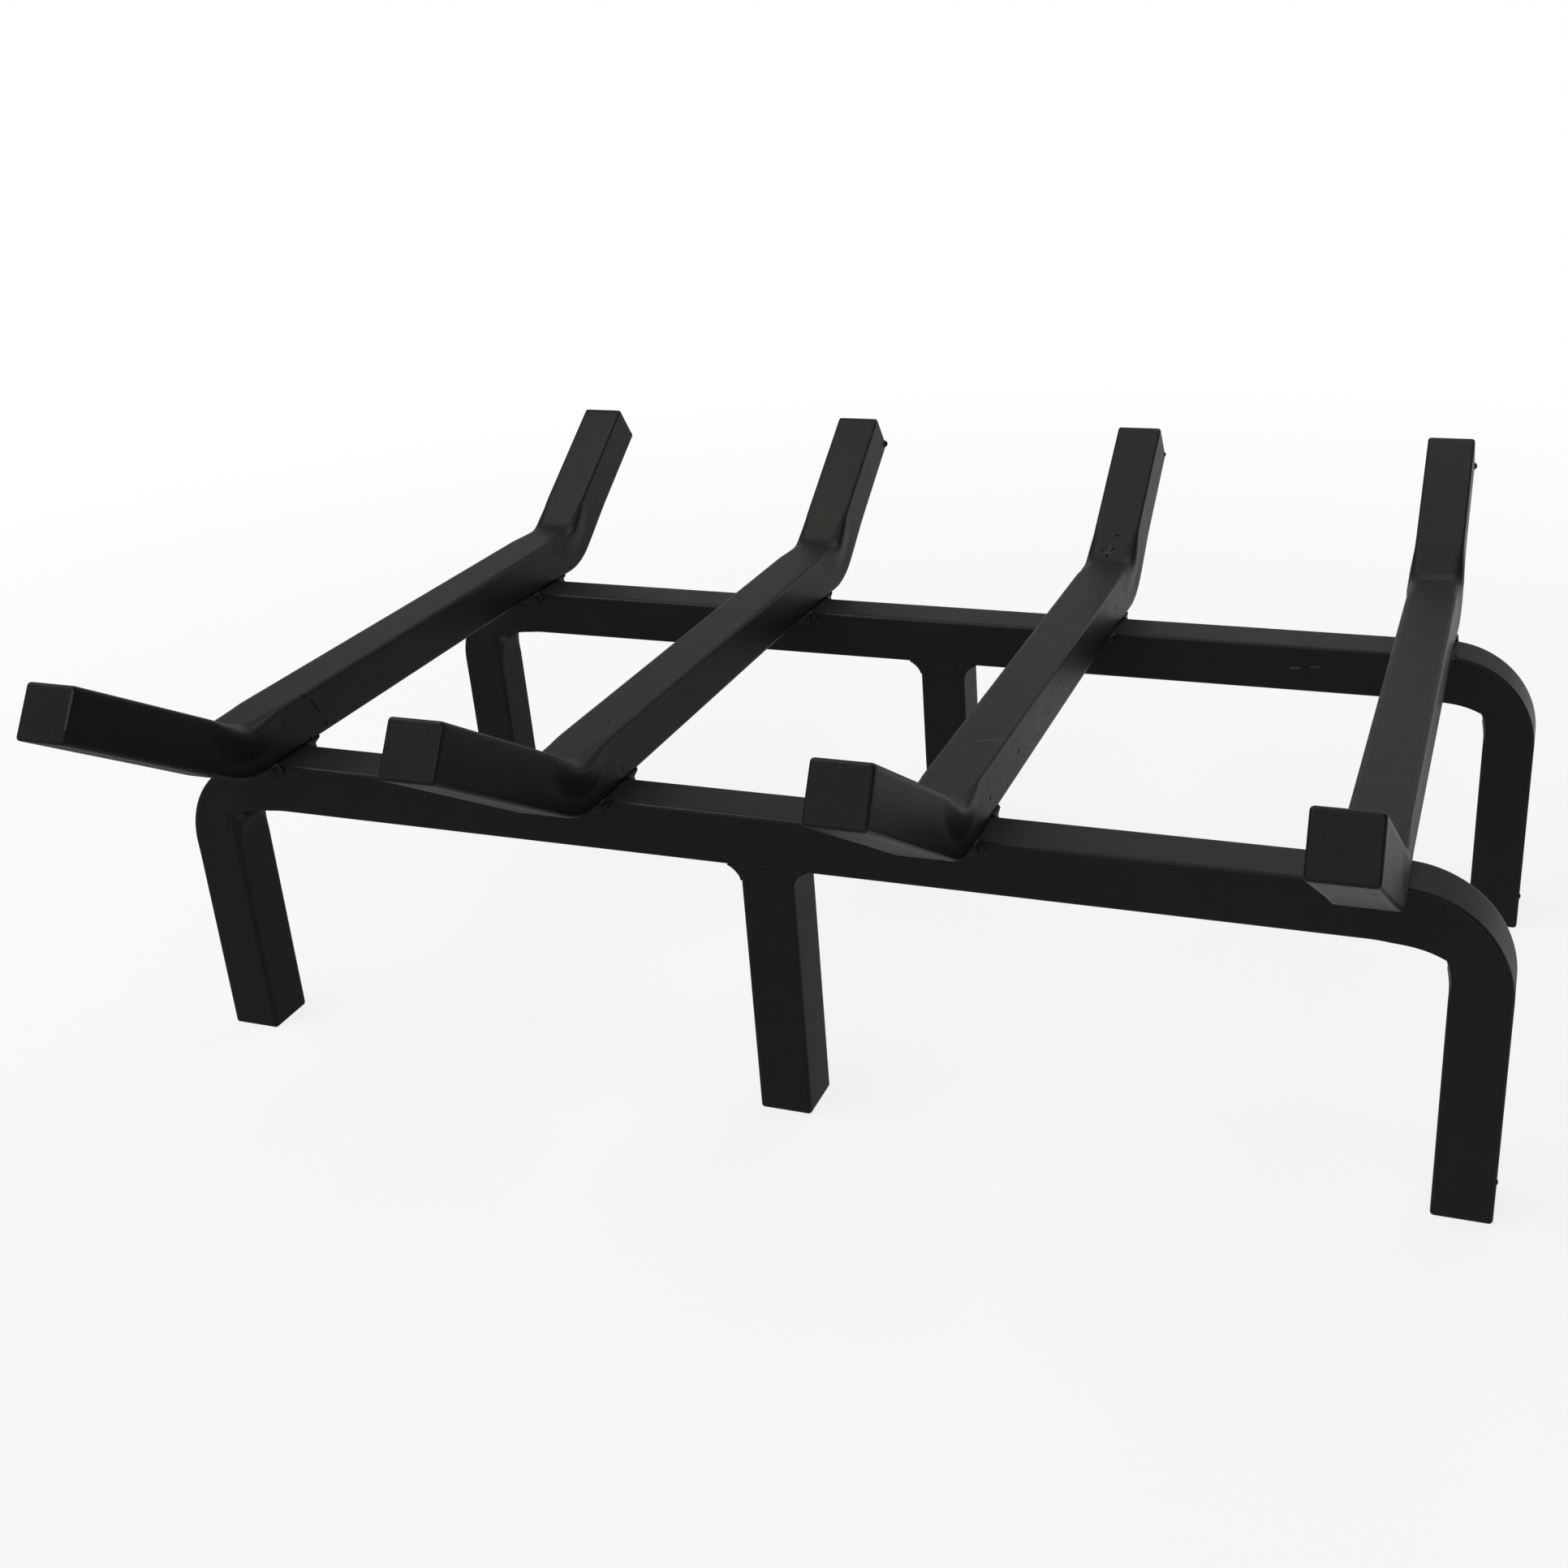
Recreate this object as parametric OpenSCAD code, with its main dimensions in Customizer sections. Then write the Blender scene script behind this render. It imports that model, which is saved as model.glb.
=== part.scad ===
// Log grate: a hearth grate of square steel bar, welded up from two rails whose
// ends are bent down into legs, two centre legs, and a row of log bars with both
// ends turned up. Millimetres. The origin is on the hearth, midway between the
// rails and between the end legs. +X runs along the rails, +Y from front to back.

/* [Stock] */
// Side of the square steel bar that every piece is cut from
bar_size = 19.05; // [16:0.05:22]
// Radius of the bar's long edges
edge_radius = 1.2; // [0.5:0.1:3]

/* [Rails and end legs] */
// Height of the rails' top faces above the hearth
rail_top = 114.2; // [80:0.1:180]
// Distance between the front and rear rails, centre to centre
rail_spacing = 191.8; // [120:0.1:200]
// Distance between the centre lines of the end legs, at the height of the rails
leg_spacing = 454.6; // [450:0.1:800]
// Lean of the end legs towards the middle, in degrees
leg_toe_in = 1.2; // [0:0.1:4]
// Outer radius of the bend where a rail turns down into a leg
rail_bend_radius = 34.7; // [32:0.1:38]
// Depth of the bend's inner crease below the underside of the rail
crease_drop = 4.8; // [3.5:0.1:6]
// Distance of that crease from the inner face of the leg
crease_inset = 2.4; // [1.8:0.1:3.5]
// Length of the swelling under the rail, from the crease to where it fades out
rail_swell_length = 22.2; // [20:0.1:30]

/* [Centre legs] */
// Place of the centre legs along the rails, to the right of the middle
center_leg_x = -2.4; // [-40:0.1:40]

/* [Log bars] */
// Number of log bars
log_bar_count = 4; // [3:1:4]
// Distance between neighbouring log bars, centre to centre
log_bar_pitch = 132.6; // [80:0.1:133]
// Place of the middle of the row of log bars, to the right of the middle
log_bar_shift = -4.4; // [-5:0.1:5]
// Distance from the middle to the corner of the front bends
front_corner = 118.9; // [116:0.1:180]
// Distance from the middle to the corner of the rear bends
rear_corner = 125.1; // [116:0.1:180]
// Length of a front tip, from that corner to its sawn end
front_tip_length = 88.5; // [40:0.1:120]
// Length of a rear tip, from that corner to its sawn end
rear_tip_length = 77.3; // [40:0.1:120]
// Rise of the front tips, in degrees
front_tip_rise = 31.8; // [15:0.1:50]
// Rise of the rear tips, in degrees
rear_tip_rise = 34.6; // [15:0.1:50]
// Outer radius of the bends in a log bar
log_bend_radius = 32.5; // [28:0.1:40]

/* [Welds] */
// Leg of the weld fillets on the rails' faces, under the log bars
bar_fillet_leg = 5.6; // [4:0.1:8]
// Leg of the weld fillets between the centre legs and the rails
leg_fillet_leg = 5.6; // [4:0.1:8]
// Depth of the hollow in the fillets
fillet_hollow = 0.9; // [0.4:0.1:1.1]

/* [Hidden] */
half_bar = bar_size / 2;
rail_y = rail_spacing / 2;
rail_axis_z = rail_top - half_bar;
rail_underside = rail_top - bar_size;
log_axis_z = rail_top + half_bar;
edge_flat = bar_size - 2 * edge_radius;
// How far straight lengths run into their bends, and cutting blocks past the metal.
over = 1;
// A bend is this much thicker than the straight bar, on every side.
bend_swell = 0.05;

// A rail's bend, in the plane of the rail: it starts at zero, runs towards +X and
// turns up, so its inner side is the upper one.
rail_turn = 90 + leg_toe_in;
rail_inner_radius = rail_bend_radius - bar_size;
rail_bend_start = leg_spacing / 2 - bend_inset(rail_turn, rail_bend_radius);
rail_corner = [rail_inner_radius * tan(rail_turn / 2), half_bar];
leg_direction = [cos(rail_turn), sin(rail_turn)];
leg_inward = [-sin(rail_turn), cos(rail_turn)];
crease_on_leg = (crease_drop - crease_inset * leg_inward.y) / leg_direction.y;
crease = rail_corner + crease_on_leg * leg_direction + crease_inset * leg_inward;
// The swelling on the leg fades out where the bend ends.
leg_swell_length = rail_corner.x - crease_on_leg;
// The even outer part of the bend reaches in to just outside the crease.
rail_arc_depth = norm(crease - [0, half_bar + rail_inner_radius]) - rail_inner_radius + over;
// Each swelling runs on for this many degrees inside the other one, past the crease.
swell_overlap = 6;

paint_black = [0.16, 0.16, 0.155];
weld_black = [0.12, 0.12, 0.12];
$fn = 48;

places = ["front", "rear"];
sides = ["left", "right"];
// A rail's outer face looks away from the other rail, and its inner face towards it.
faces = ["outer", "inner"];
function place_sign(place) = place == "rear" ? 1 : -1;
function face_sign(face) = face == "outer" ? 1 : -1;
function log_bar_x(i) = log_bar_shift + (i - (log_bar_count + 1) / 2) * log_bar_pitch;
function log_bar_name(i) = str("log_bar_", i);
function rail_name(place) = str(place, "_rail");
function center_leg_name(place) = str(place, "_center_leg");
function bar_weld_name(i, place, face) = str("weld_", i, "_", place, "_", face);
function leg_weld_name(place, side) = str("weld_", place, "_leg_", side);

// ---- Square bar, straight and bent ----

// The bar's section, with its long edges rounded.
module bar_section(grow = 0) {
    size = bar_size + 2 * grow;
    flat = edge_flat + 2 * grow;
    square([size, flat], center = true);
    square([flat, size], center = true);
    for (x = [-1, 1])
        for (y = [-1, 1])
            translate([x, y] * flat / 2)
                circle(r = edge_radius);
}

// A straight length along +X, from one place to another.
module straight(from, to) {
    translate([from, 0, 0])
        rotate([90, 0, 90])
            linear_extrude(height = to - from)
                bar_section();
}

// A bend that leaves the X axis and turns up around its inner face, or only the
// part of it between two depths below that face.
module bend(turn, inner_radius, from = -over, to = bar_size + over, swell = bend_swell) {
    axis_radius = inner_radius + half_bar;
    translate([0, 0, axis_radius])
        rotate([90, 0, 0])
            rotate([0, 0, -90])
                rotate_extrude(angle = turn)
                    intersection() {
                        translate([axis_radius, 0])
                            bar_section(swell);
                        translate([inner_radius + from, -bar_size])
                            square([to - from, 2 * bar_size]);
                    }
}

// Distance from a bend's corner to where it starts, on the bar's axis.
function bend_inset(turn, outer_radius) = (outer_radius - half_bar) * tan(turn / 2);

// Places its children at the end of a bend, on the axis of the bar that leaves it.
module after_bend(turn, outer_radius) {
    inset = bend_inset(turn, outer_radius);
    translate([inset, 0, 0])
        rotate([0, -turn, 0])
            translate([inset, 0, 0])
                children();
}

// ---- Rails ----

// One of the two swellings that meet in the crease inside a rail's bend. It starts
// at zero and rises to the crease over the given length.
module swelling(length, rise, swell) {
    radius = (length * length + rise * rise) / (2 * rise);
    bend(asin(length / radius) + swell_overlap, radius, to = half_bar, swell = swell);
}

// Both swellings of a bend, on the rail's side and on the leg's side. The bar gets
// thicker towards the leg, where the bend has pressed it together most.
module swellings() {
    translate([crease.x - rail_swell_length, 0, 0])
        swelling(rail_swell_length, crease_drop, 2 * bend_swell);
    after_bend(rail_turn, rail_bend_radius)
        mirror([1, 0, 0])
            swelling(leg_swell_length, crease_inset, 3 * bend_swell);
}

// The bend's outer part and the leg below it, turning up.
module end_leg() {
    bend(rail_turn, rail_inner_radius, from = rail_arc_depth);
    after_bend(rail_turn, rail_bend_radius)
        straight(-over, rail_top);
}

// Places its children at both ends of a rail, the left ones mirrored.
module at_both_ends() {
    for (side = [0, 1])
        mirror([side, 0, 0])
            translate([rail_bend_start, 0, 0])
                children();
}

// A rail with the legs that its ends are bent into, in its own plane.
module rail() {
    difference() {
        translate([0, 0, rail_axis_z])
            mirror([0, 0, 1]) {
                straight(-rail_bend_start - over, rail_bend_start + over);
                at_both_ends()
                    end_leg();
                at_both_ends()
                    swellings();
            }
        translate([-leg_spacing, -bar_size, -2 * rail_bend_radius])
            cube([2 * leg_spacing, 2 * bar_size, 2 * rail_bend_radius]);
    }
}

module placed_rail(place) {
    color(paint_black)
        translate([0, place_sign(place) * rail_y, 0])
            rail();
}

// ---- Centre legs ----

module center_leg(place) {
    color(paint_black)
        translate([center_leg_x, place_sign(place) * rail_y, 0])
            linear_extrude(height = rail_underside)
                bar_section();
}

// ---- Log bars ----

// An upturned end, from the start of its bend to its sawn end.
module log_tip(rise, length) {
    bend(rise, log_bend_radius - bar_size);
    after_bend(rise, log_bend_radius)
        straight(-over, length - bend_inset(rise, log_bend_radius));
}

module log_bar(i) {
    front_run = front_corner - bend_inset(front_tip_rise, log_bend_radius);
    rear_run = rear_corner - bend_inset(rear_tip_rise, log_bend_radius);
    color(paint_black)
        translate([log_bar_x(i), 0, log_axis_z])
            rotate([0, 0, 90]) {
                straight(-front_run - over, rear_run + over);
                translate([-front_run, 0, 0])
                    mirror([1, 0, 0])
                        log_tip(front_tip_rise, front_tip_length);
                translate([rear_run, 0, 0])
                    log_tip(rear_tip_rise, rear_tip_length);
            }
}

// ---- Welds ----

// A hollow weld fillet in the corner under a bar's flat underside and beside an
// upright face that looks along +X. It is as long as the flat of the bar.
module fillet(leg) {
    chord = leg * sqrt(2);
    hollow_radius = chord * chord / (8 * fillet_hollow) + fillet_hollow / 2;
    hollow_center = leg / 2 + (hollow_radius - fillet_hollow) / sqrt(2);
    color(weld_black)
        rotate([90, 0, 0])
            linear_extrude(height = edge_flat, center = true)
                difference() {
                    polygon([[0, 0], [leg, 0], [0, -leg]]);
                    translate([hollow_center, -hollow_center])
                        circle(r = hollow_radius);
                }
}

// The weld on one face of a rail, under a log bar.
module bar_weld(i, place, face) {
    translate([log_bar_x(i), place_sign(place) * rail_y, rail_top])
        rotate([0, 0, 90 * place_sign(place) * face_sign(face)])
            translate([half_bar, 0, 0])
                fillet(bar_fillet_leg);
}

// The weld on one side of a centre leg, under its rail.
module leg_weld(place, side) {
    translate([center_leg_x, place_sign(place) * rail_y, rail_underside])
        mirror([side == "left" ? 1 : 0, 0, 0])
            translate([half_bar, 0, 0])
                fillet(leg_fillet_leg);
}

for (place = places) {
    placed_rail(place);
    center_leg(place);
}
for (i = [1:log_bar_count])
    log_bar(i);
for (i = [1:log_bar_count], place = places, face = faces)
    bar_weld(i, place, face);
for (place = places, side = sides)
    leg_weld(place, side);
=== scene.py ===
# %% [markdown]
# # A log grate of square steel bar
#
# The real object is a heavy little bed for a hearth fire. Square steel bar was cut
# with a saw, bent cold in a press, welded together and sprayed satin black. Nothing
# on it moves. This lesson builds it piece by piece around a measured CAD model: the
# CAD solids say where everything is, and each piece here is a finer mesh in the same
# place, with the rounded edges, press marks, weld ripples and paint of the real one.
#
# The frame is loaded first, because it also says how large the object may be. Its
# box is kept now, and is compared with the finished pieces at the very end.

# %% Load the measured solids
import math
import random

import bmesh
import bpy
from mathutils import Matrix, Quaternion, Vector, noise


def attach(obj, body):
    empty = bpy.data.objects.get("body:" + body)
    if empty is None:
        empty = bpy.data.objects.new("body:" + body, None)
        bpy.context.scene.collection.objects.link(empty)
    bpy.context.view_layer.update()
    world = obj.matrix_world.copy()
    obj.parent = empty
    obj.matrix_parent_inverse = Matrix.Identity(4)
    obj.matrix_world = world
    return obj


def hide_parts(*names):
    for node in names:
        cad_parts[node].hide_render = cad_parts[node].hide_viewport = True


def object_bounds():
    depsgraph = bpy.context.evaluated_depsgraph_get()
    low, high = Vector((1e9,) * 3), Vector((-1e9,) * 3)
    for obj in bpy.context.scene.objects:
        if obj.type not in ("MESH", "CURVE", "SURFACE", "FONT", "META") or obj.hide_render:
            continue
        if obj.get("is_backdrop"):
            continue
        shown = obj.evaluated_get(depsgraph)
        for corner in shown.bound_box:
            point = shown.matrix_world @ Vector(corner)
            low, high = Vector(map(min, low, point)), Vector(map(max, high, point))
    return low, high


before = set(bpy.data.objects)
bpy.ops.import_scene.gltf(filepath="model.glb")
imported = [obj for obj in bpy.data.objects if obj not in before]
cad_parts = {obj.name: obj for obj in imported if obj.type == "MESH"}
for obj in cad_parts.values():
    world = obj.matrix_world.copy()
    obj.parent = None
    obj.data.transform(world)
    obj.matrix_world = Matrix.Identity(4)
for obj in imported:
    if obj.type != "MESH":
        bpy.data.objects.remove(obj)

cad_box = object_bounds()
print("CAD nodes:", len(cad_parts))
print("CAD box:", [[round(v, 4) for v in corner] for corner in cad_box])

# %% [markdown]
# ## The sizes of the stock and the bends
#
# One size of bar makes the whole grate, so a short list of sizes describes it. They
# are the same ones that the CAD model was drawn with, in metres, because a Blender
# unit here is a metre. `MM` keeps them readable, and `HAIR` is the distance under
# which two places count as one.

# %% Sizes
MM = 0.001
HAIR = MM / 100
BAR = 19.05 * MM
HALF = BAR / 2
EDGE_RADIUS = 1.3 * MM

RAIL_TOP = 114.2 * MM
RAIL_Y = 191.8 / 2 * MM
LEG_X = 454.6 / 2 * MM
LEG_TOE_IN = math.radians(1.2)
RAIL_BEND = 34.7 * MM
CREASE_DROP = 4.8 * MM
CREASE_INSET = 2.4 * MM
RAIL_SWELL_LENGTH = 22.2 * MM
CENTRE_LEG_X = -2.4 * MM

LOG_BARS = (1, 2, 3, 4)
LOG_BAR_PITCH = 132.6 * MM
LOG_BAR_SHIFT = -4.4 * MM
LOG_BEND = 32.5 * MM
FRONT_CORNER = 118.9 * MM
REAR_CORNER = 125.1 * MM
FRONT_TIP = 88.5 * MM
REAR_TIP = 77.3 * MM
FRONT_RISE = math.radians(31.8)
REAR_RISE = math.radians(34.6)

FILLET_LEG = 5.6 * MM
FILLET_HOLLOW = 0.9 * MM

RAIL_AXIS_Z = RAIL_TOP - HALF
RAIL_UNDERSIDE = RAIL_TOP - BAR
LOG_AXIS_Z = RAIL_TOP + HALF


def log_bar_x(i):
    """The place of a log bar along the rails, counted from the left."""
    middle = (LOG_BARS[0] + LOG_BARS[-1]) / 2
    return LOG_BAR_SHIFT + (i - middle) * LOG_BAR_PITCH


print("log bars at x =", [round(log_bar_x(i) / MM, 1) for i in LOG_BARS], "mm")

# %% [markdown]
# ## The camera
#
# The photograph was taken from the front, a little to the right and above, from
# about three quarters of a metre. The camera's place, aim and lens were solved from
# the outline of the object. The picture is a crop of a larger one, so the middle of
# the lens isn't in the middle of the frame, and a small lens shift does the same here.

# %% Camera
CAMERA_PLACE = Vector((0.2362, -0.6159, 0.3833))
CAMERA_AZIMUTH = math.radians(20.243)
CAMERA_TILT = math.radians(20.732)
CAMERA_ROLL = math.radians(-3.133)
PHOTO_PIXELS = 1932
FOCAL_PIXELS = 2320.0
LENS_CENTRE_PIXEL = (1103.5, 800.5)
SENSOR_MM = 36
NEAREST_SEEN = 0.01
FARTHEST_SEEN = 100


def aim(azimuth, tilt):
    """The direction of a view that is turned left by azimuth and down by tilt."""
    flat = Vector((-math.sin(azimuth), math.cos(azimuth), 0))
    return flat * math.cos(tilt) + Vector((0, 0, -math.sin(tilt)))


camera = bpy.data.objects.new("camera", bpy.data.cameras.new("camera"))
bpy.context.collection.objects.link(camera)
camera.location = CAMERA_PLACE
camera.rotation_mode = "QUATERNION"
level_turn = aim(CAMERA_AZIMUTH, CAMERA_TILT).to_track_quat("-Z", "Y")
camera.rotation_quaternion = level_turn @ Quaternion((0, 0, 1), CAMERA_ROLL)
camera.data.sensor_width = SENSOR_MM
camera.data.lens = FOCAL_PIXELS / PHOTO_PIXELS * SENSOR_MM
camera.data.shift_x = (PHOTO_PIXELS / 2 - LENS_CENTRE_PIXEL[0]) / PHOTO_PIXELS
camera.data.shift_y = (LENS_CENTRE_PIXEL[1] - PHOTO_PIXELS / 2) / PHOTO_PIXELS
camera.data.clip_start = NEAREST_SEEN
camera.data.clip_end = FARTHEST_SEEN
bpy.context.scene.camera = camera
bpy.context.scene.view_settings.view_transform = "Standard"
print("lens", round(camera.data.lens, 2), "mm")
print("lens shift", round(camera.data.shift_x, 4), round(camera.data.shift_y, 4))

# %% [markdown]
# ## From a square to a bar
#
# Hot rolled square bar has softly rounded edges. A bar could be a stretched cube
# with a bevel, but bends and press marks need vertices all along it. So each bar
# starts as its section: one square face, whose corners are bevelled and whose sides
# are cut into short edges. The face is then dropped and the ring of edges is pulled
# along the bar's path. An attribute marks the rounded edges for the paint.

# %% The section of the bar
EDGE_SEGMENTS = 4
CUTS_PER_SIDE = 15


def new_bar_mesh():
    """An empty mesh with the two marks that the paint reads."""
    bm = bmesh.new()
    bm.verts.layers.float.new("edge")
    bm.verts.layers.float.new("pressed")
    return bm


def section_ring(bm, centre, side, along):
    """The bar's section around centre, square to along, as a closed ring of edges."""
    edge_mark = bm.verts.layers.float["edge"]
    bmesh.ops.create_grid(bm, x_segments=1, y_segments=1, size=HALF)
    bmesh.ops.bevel(
        bm,
        geom=bm.verts[:],
        offset=EDGE_RADIUS,
        offset_type="OFFSET",
        affect="VERTICES",
        segments=EDGE_SEGMENTS,
        profile=0.5,
        material=-1,
    )
    for vert in bm.verts:
        vert[edge_mark] = 1.0
    sides = [e for e in bm.edges if e.calc_length() > HALF]
    bmesh.ops.subdivide_edges(bm, edges=sides, cuts=CUTS_PER_SIDE)
    bmesh.ops.delete(bm, geom=bm.faces[:], context="FACES_ONLY")
    for vert in bm.verts:
        if max(abs(vert.co.x), abs(vert.co.y)) > HALF - HAIR:
            if min(abs(vert.co.x), abs(vert.co.y)) < HALF - EDGE_RADIUS - HAIR:
                vert[edge_mark] = 0.0
    third = along.cross(side)
    turn_to = Matrix((side, third, along)).transposed().to_4x4()
    bmesh.ops.transform(bm, matrix=Matrix.Translation(centre) @ turn_to, verts=bm.verts[:])
    return bm.verts[:] + bm.edges[:]


def pull(bm, ring, count, way=(0, 0, 0), centre=(0, 0, 0), axis=(0, 0, 1), angle=0.0):
    """Pulls the ring on in count steps, each moved by way and all turned by angle in sum."""
    made = bmesh.ops.spin(
        bm,
        geom=ring,
        cent=centre,
        axis=axis,
        dvec=way,
        angle=angle,
        steps=count,
        use_duplicate=False,
    )
    return made["geom_last"]


def run(bm, ring, way, count):
    """Pulls the ring straight along by way, in count steps, and returns its far end."""
    return pull(bm, ring, count, way=way / count)


def turn(bm, ring, centre, axis, angle, count):
    """Pulls the ring round a bend, in count steps, and returns its far end."""
    return pull(bm, ring, count, centre=centre, axis=axis, angle=angle)


FINE_LENGTH = 14 * MM
FINE_STEP = 0.9 * MM
COARSE_STEP = 3 * MM


def steps_for(length, step):
    """How many steps of about this size make the length."""
    return max(1, round(length / step))


def run_from_bend(bm, ring, along, length):
    """A straight length that starts at a bend: short steps first, then long ones."""
    ring = run(bm, ring, along * FINE_LENGTH, steps_for(FINE_LENGTH, FINE_STEP))
    rest = length - FINE_LENGTH
    return run(bm, ring, along * rest, steps_for(rest, COARSE_STEP))


def run_to_bend(bm, ring, along, length):
    """A straight length that ends at a bend: long steps first, then short ones."""
    rest = length - FINE_LENGTH
    ring = run(bm, ring, along * rest, steps_for(rest, COARSE_STEP))
    return run(bm, ring, along * FINE_LENGTH, steps_for(FINE_LENGTH, FINE_STEP))


test_mesh = new_bar_mesh()
section_ring(test_mesh, Vector((0, 0, 0)), Vector((1, 0, 0)), Vector((0, 0, 1)))
print("vertices round the bar:", len(test_mesh.verts))
test_mesh.free()

# %% [markdown]
# ## What a press does to a bend
#
# A bar that is bent cold gets thicker on the inside of the bend and is pushed out
# sideways there, while the outside is stretched and draws in a little. To shape
# that, every vertex near a bend is told where it is: how far along from the middle
# of the bend, how deep below the inner face, and which way is towards the centre.

# %% Places round a bend
REACH = 32 * MM


class Bend:
    """One bend: its centre, the axis it turns about and the middle of its arc."""

    def __init__(self, centre, middle, side, turn_angle, inner_radius):
        self.centre = centre
        self.middle = middle.normalized()
        self.side = side.normalized()
        self.onward = self.side.cross(self.middle)
        self.half_turn = turn_angle / 2
        self.inner_radius = inner_radius

    def place(self, point):
        """Distance along from the middle, depth, outward direction and angle there."""
        offset = point - self.centre
        flat = offset - self.side * offset.dot(self.side)
        angle = math.atan2(flat.dot(self.onward), flat.dot(self.middle))
        if abs(angle) <= self.half_turn:
            along = self.inner_radius * angle
            return along, flat.length - self.inner_radius, flat.normalized(), angle
        sign = 1 if angle > 0 else -1
        end = sign * self.half_turn
        outward = self.middle * math.cos(end) + self.onward * math.sin(end)
        forward = self.onward * math.cos(end) - self.middle * math.sin(end)
        along = self.inner_radius * end + flat.dot(forward)
        return along, flat.dot(outward) - self.inner_radius, outward, angle


def fade(distance, reach):
    """1 at no distance, falling smoothly to 0 at reach and beyond."""
    share = min(abs(distance) / reach, 1)
    return (1 - share) ** 2 * (1 + 2 * share)


def soften_corner(depth, side, radius):
    """Pulls a point this deep and this far from the side onto a larger rounding."""
    if depth >= radius or side >= radius:
        return 0.0, 0.0
    reach = math.hypot(radius - depth, radius - side)
    if reach <= radius:
        return 0.0, 0.0
    share = 1 - radius / reach
    return (radius - depth) * share, (radius - side) * share


# How deep below the inner face each effect reaches, or above the outer face for the
# neck, and how much further along the bar than the bulge the neck and the mark reach.
SHIFT_DEPTH = 0.7 * BAR
BULGE_DEPTH = 1.1 * BAR
NECK_DEPTH = 0.9 * BAR
NECK_SPREAD = 1.6
MARK_SPREAD = 1.3


def press_bend(bm, bend, inner_shift, bulge, bulge_reach, neck, soft_radius, soft_reach):
    """Moves the inner side, softens its edges, bulges it out and draws the outside in."""
    pressed = bm.verts.layers.float["pressed"]
    for vert in bm.verts:
        along, depth, outward, angle = bend.place(vert.co)
        if abs(along) > REACH or depth < -MM or depth > BAR + MM:
            continue
        sideways = (vert.co - bend.centre).dot(bend.side)
        if abs(sideways) > HALF + MM:
            continue
        share = fade(max(depth - EDGE_RADIUS, 0), SHIFT_DEPTH)
        shift = inner_shift(angle, along, sideways) * share
        radius = soft_radius * fade(along, soft_reach)
        deeper, narrower = soften_corner(depth, HALF - abs(sideways), radius)
        inner = fade(along, bulge_reach) * fade(depth, BULGE_DEPTH)
        outer = fade(along, NECK_SPREAD * bulge_reach) * fade(BAR - depth, NECK_DEPTH)
        wider = (bulge * inner - neck * outer) * abs(sideways) / HALF - narrower
        vert.co += outward * (shift + deeper)
        vert.co += bend.side * math.copysign(wider, sideways)
        mark = fade(along, MARK_SPREAD * bulge_reach) * fade(depth, BAR)
        vert[pressed] = max(vert[pressed], mark)


# %% [markdown]
# ## Uneven steel
#
# Rolled bar is never quite flat, and a thick coat of paint follows it. Smooth noise
# moves the skin inwards by a few hundredths of a millimetre, which is enough to make
# reflections waver. It moves only inwards, so a bar never grows past its real size.

# %% Uneven skin
WAVE_DEPTH = 0.04 * MM
LONG_WAVE = 45 * MM
SHORT_WAVE = 16 * MM
LONG_SHARE = 0.35
SHORT_SHARE = 0.25
SEED_STEPS = (3.7, 1.9, 5.3)


def uneven(bm, seed):
    """Sinks the skin by smooth noise, never outwards."""
    bm.normal_update()
    shift = Vector([seed * step for step in SEED_STEPS])
    moves = []
    for vert in bm.verts:
        long_wave = noise.noise(vert.co / LONG_WAVE + shift)
        short_wave = noise.noise(vert.co / SHORT_WAVE - shift)
        level = 0.5 + LONG_SHARE * long_wave + SHORT_SHARE * short_wave
        moves.append(-vert.normal * WAVE_DEPTH * min(max(level, 0), 1))
    for vert, move in zip(bm.verts, moves):
        vert.co += move


# %% [markdown]
# ## Sawn ends
#
# The bars were cut with a saw. The cut is flat, and its rim was rounded over a little,
# with the paint gathering along it. So an end is capped, its rim gets a bevel of about
# a millimetre, and the face inside is set back by a hair. The caps get a paint of
# their own later, in which the saw lines show.

# %% Caps
RIM = 1.22 * MM
RIM_SEGMENTS = 4
CAP_INSET = 0.3 * MM
CAP_DEPTH = -0.06 * MM
SAWN = 1


def cap_ends(bm):
    """Closes the open ends as sawn faces with a crisp, slightly rounded rim."""
    rims = [e for e in bm.edges if e.is_boundary]
    bmesh.ops.holes_fill(bm, edges=rims, sides=0)
    bmesh.ops.recalc_face_normals(bm, faces=bm.faces[:])
    bmesh.ops.bevel(
        bm,
        geom=rims,
        offset=RIM,
        offset_type="OFFSET",
        affect="EDGES",
        segments=RIM_SEGMENTS,
        profile=0.5,
        material=-1,
    )
    caps = [f for f in bm.faces if len(f.verts) > 4 and f.calc_area() > HALF * HALF]
    bmesh.ops.inset_region(bm, faces=caps, thickness=CAP_INSET, depth=CAP_DEPTH)
    for face in bm.faces:
        face.smooth = True
        face.material_index = 0
    for part in bmesh.ops.poke(bm, faces=caps)["faces"]:
        part.smooth = False
        part.material_index = SAWN


# %% [markdown]
# ## Drips and spatter
#
# Sprayed paint leaves drips and runs, and welding leaves spatter. Each of them is a
# small ball, squashed or drawn out, and sunk into the bar. An icosphere has even
# faces all round, while a globe made of rings is pinched at its two poles.

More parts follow.
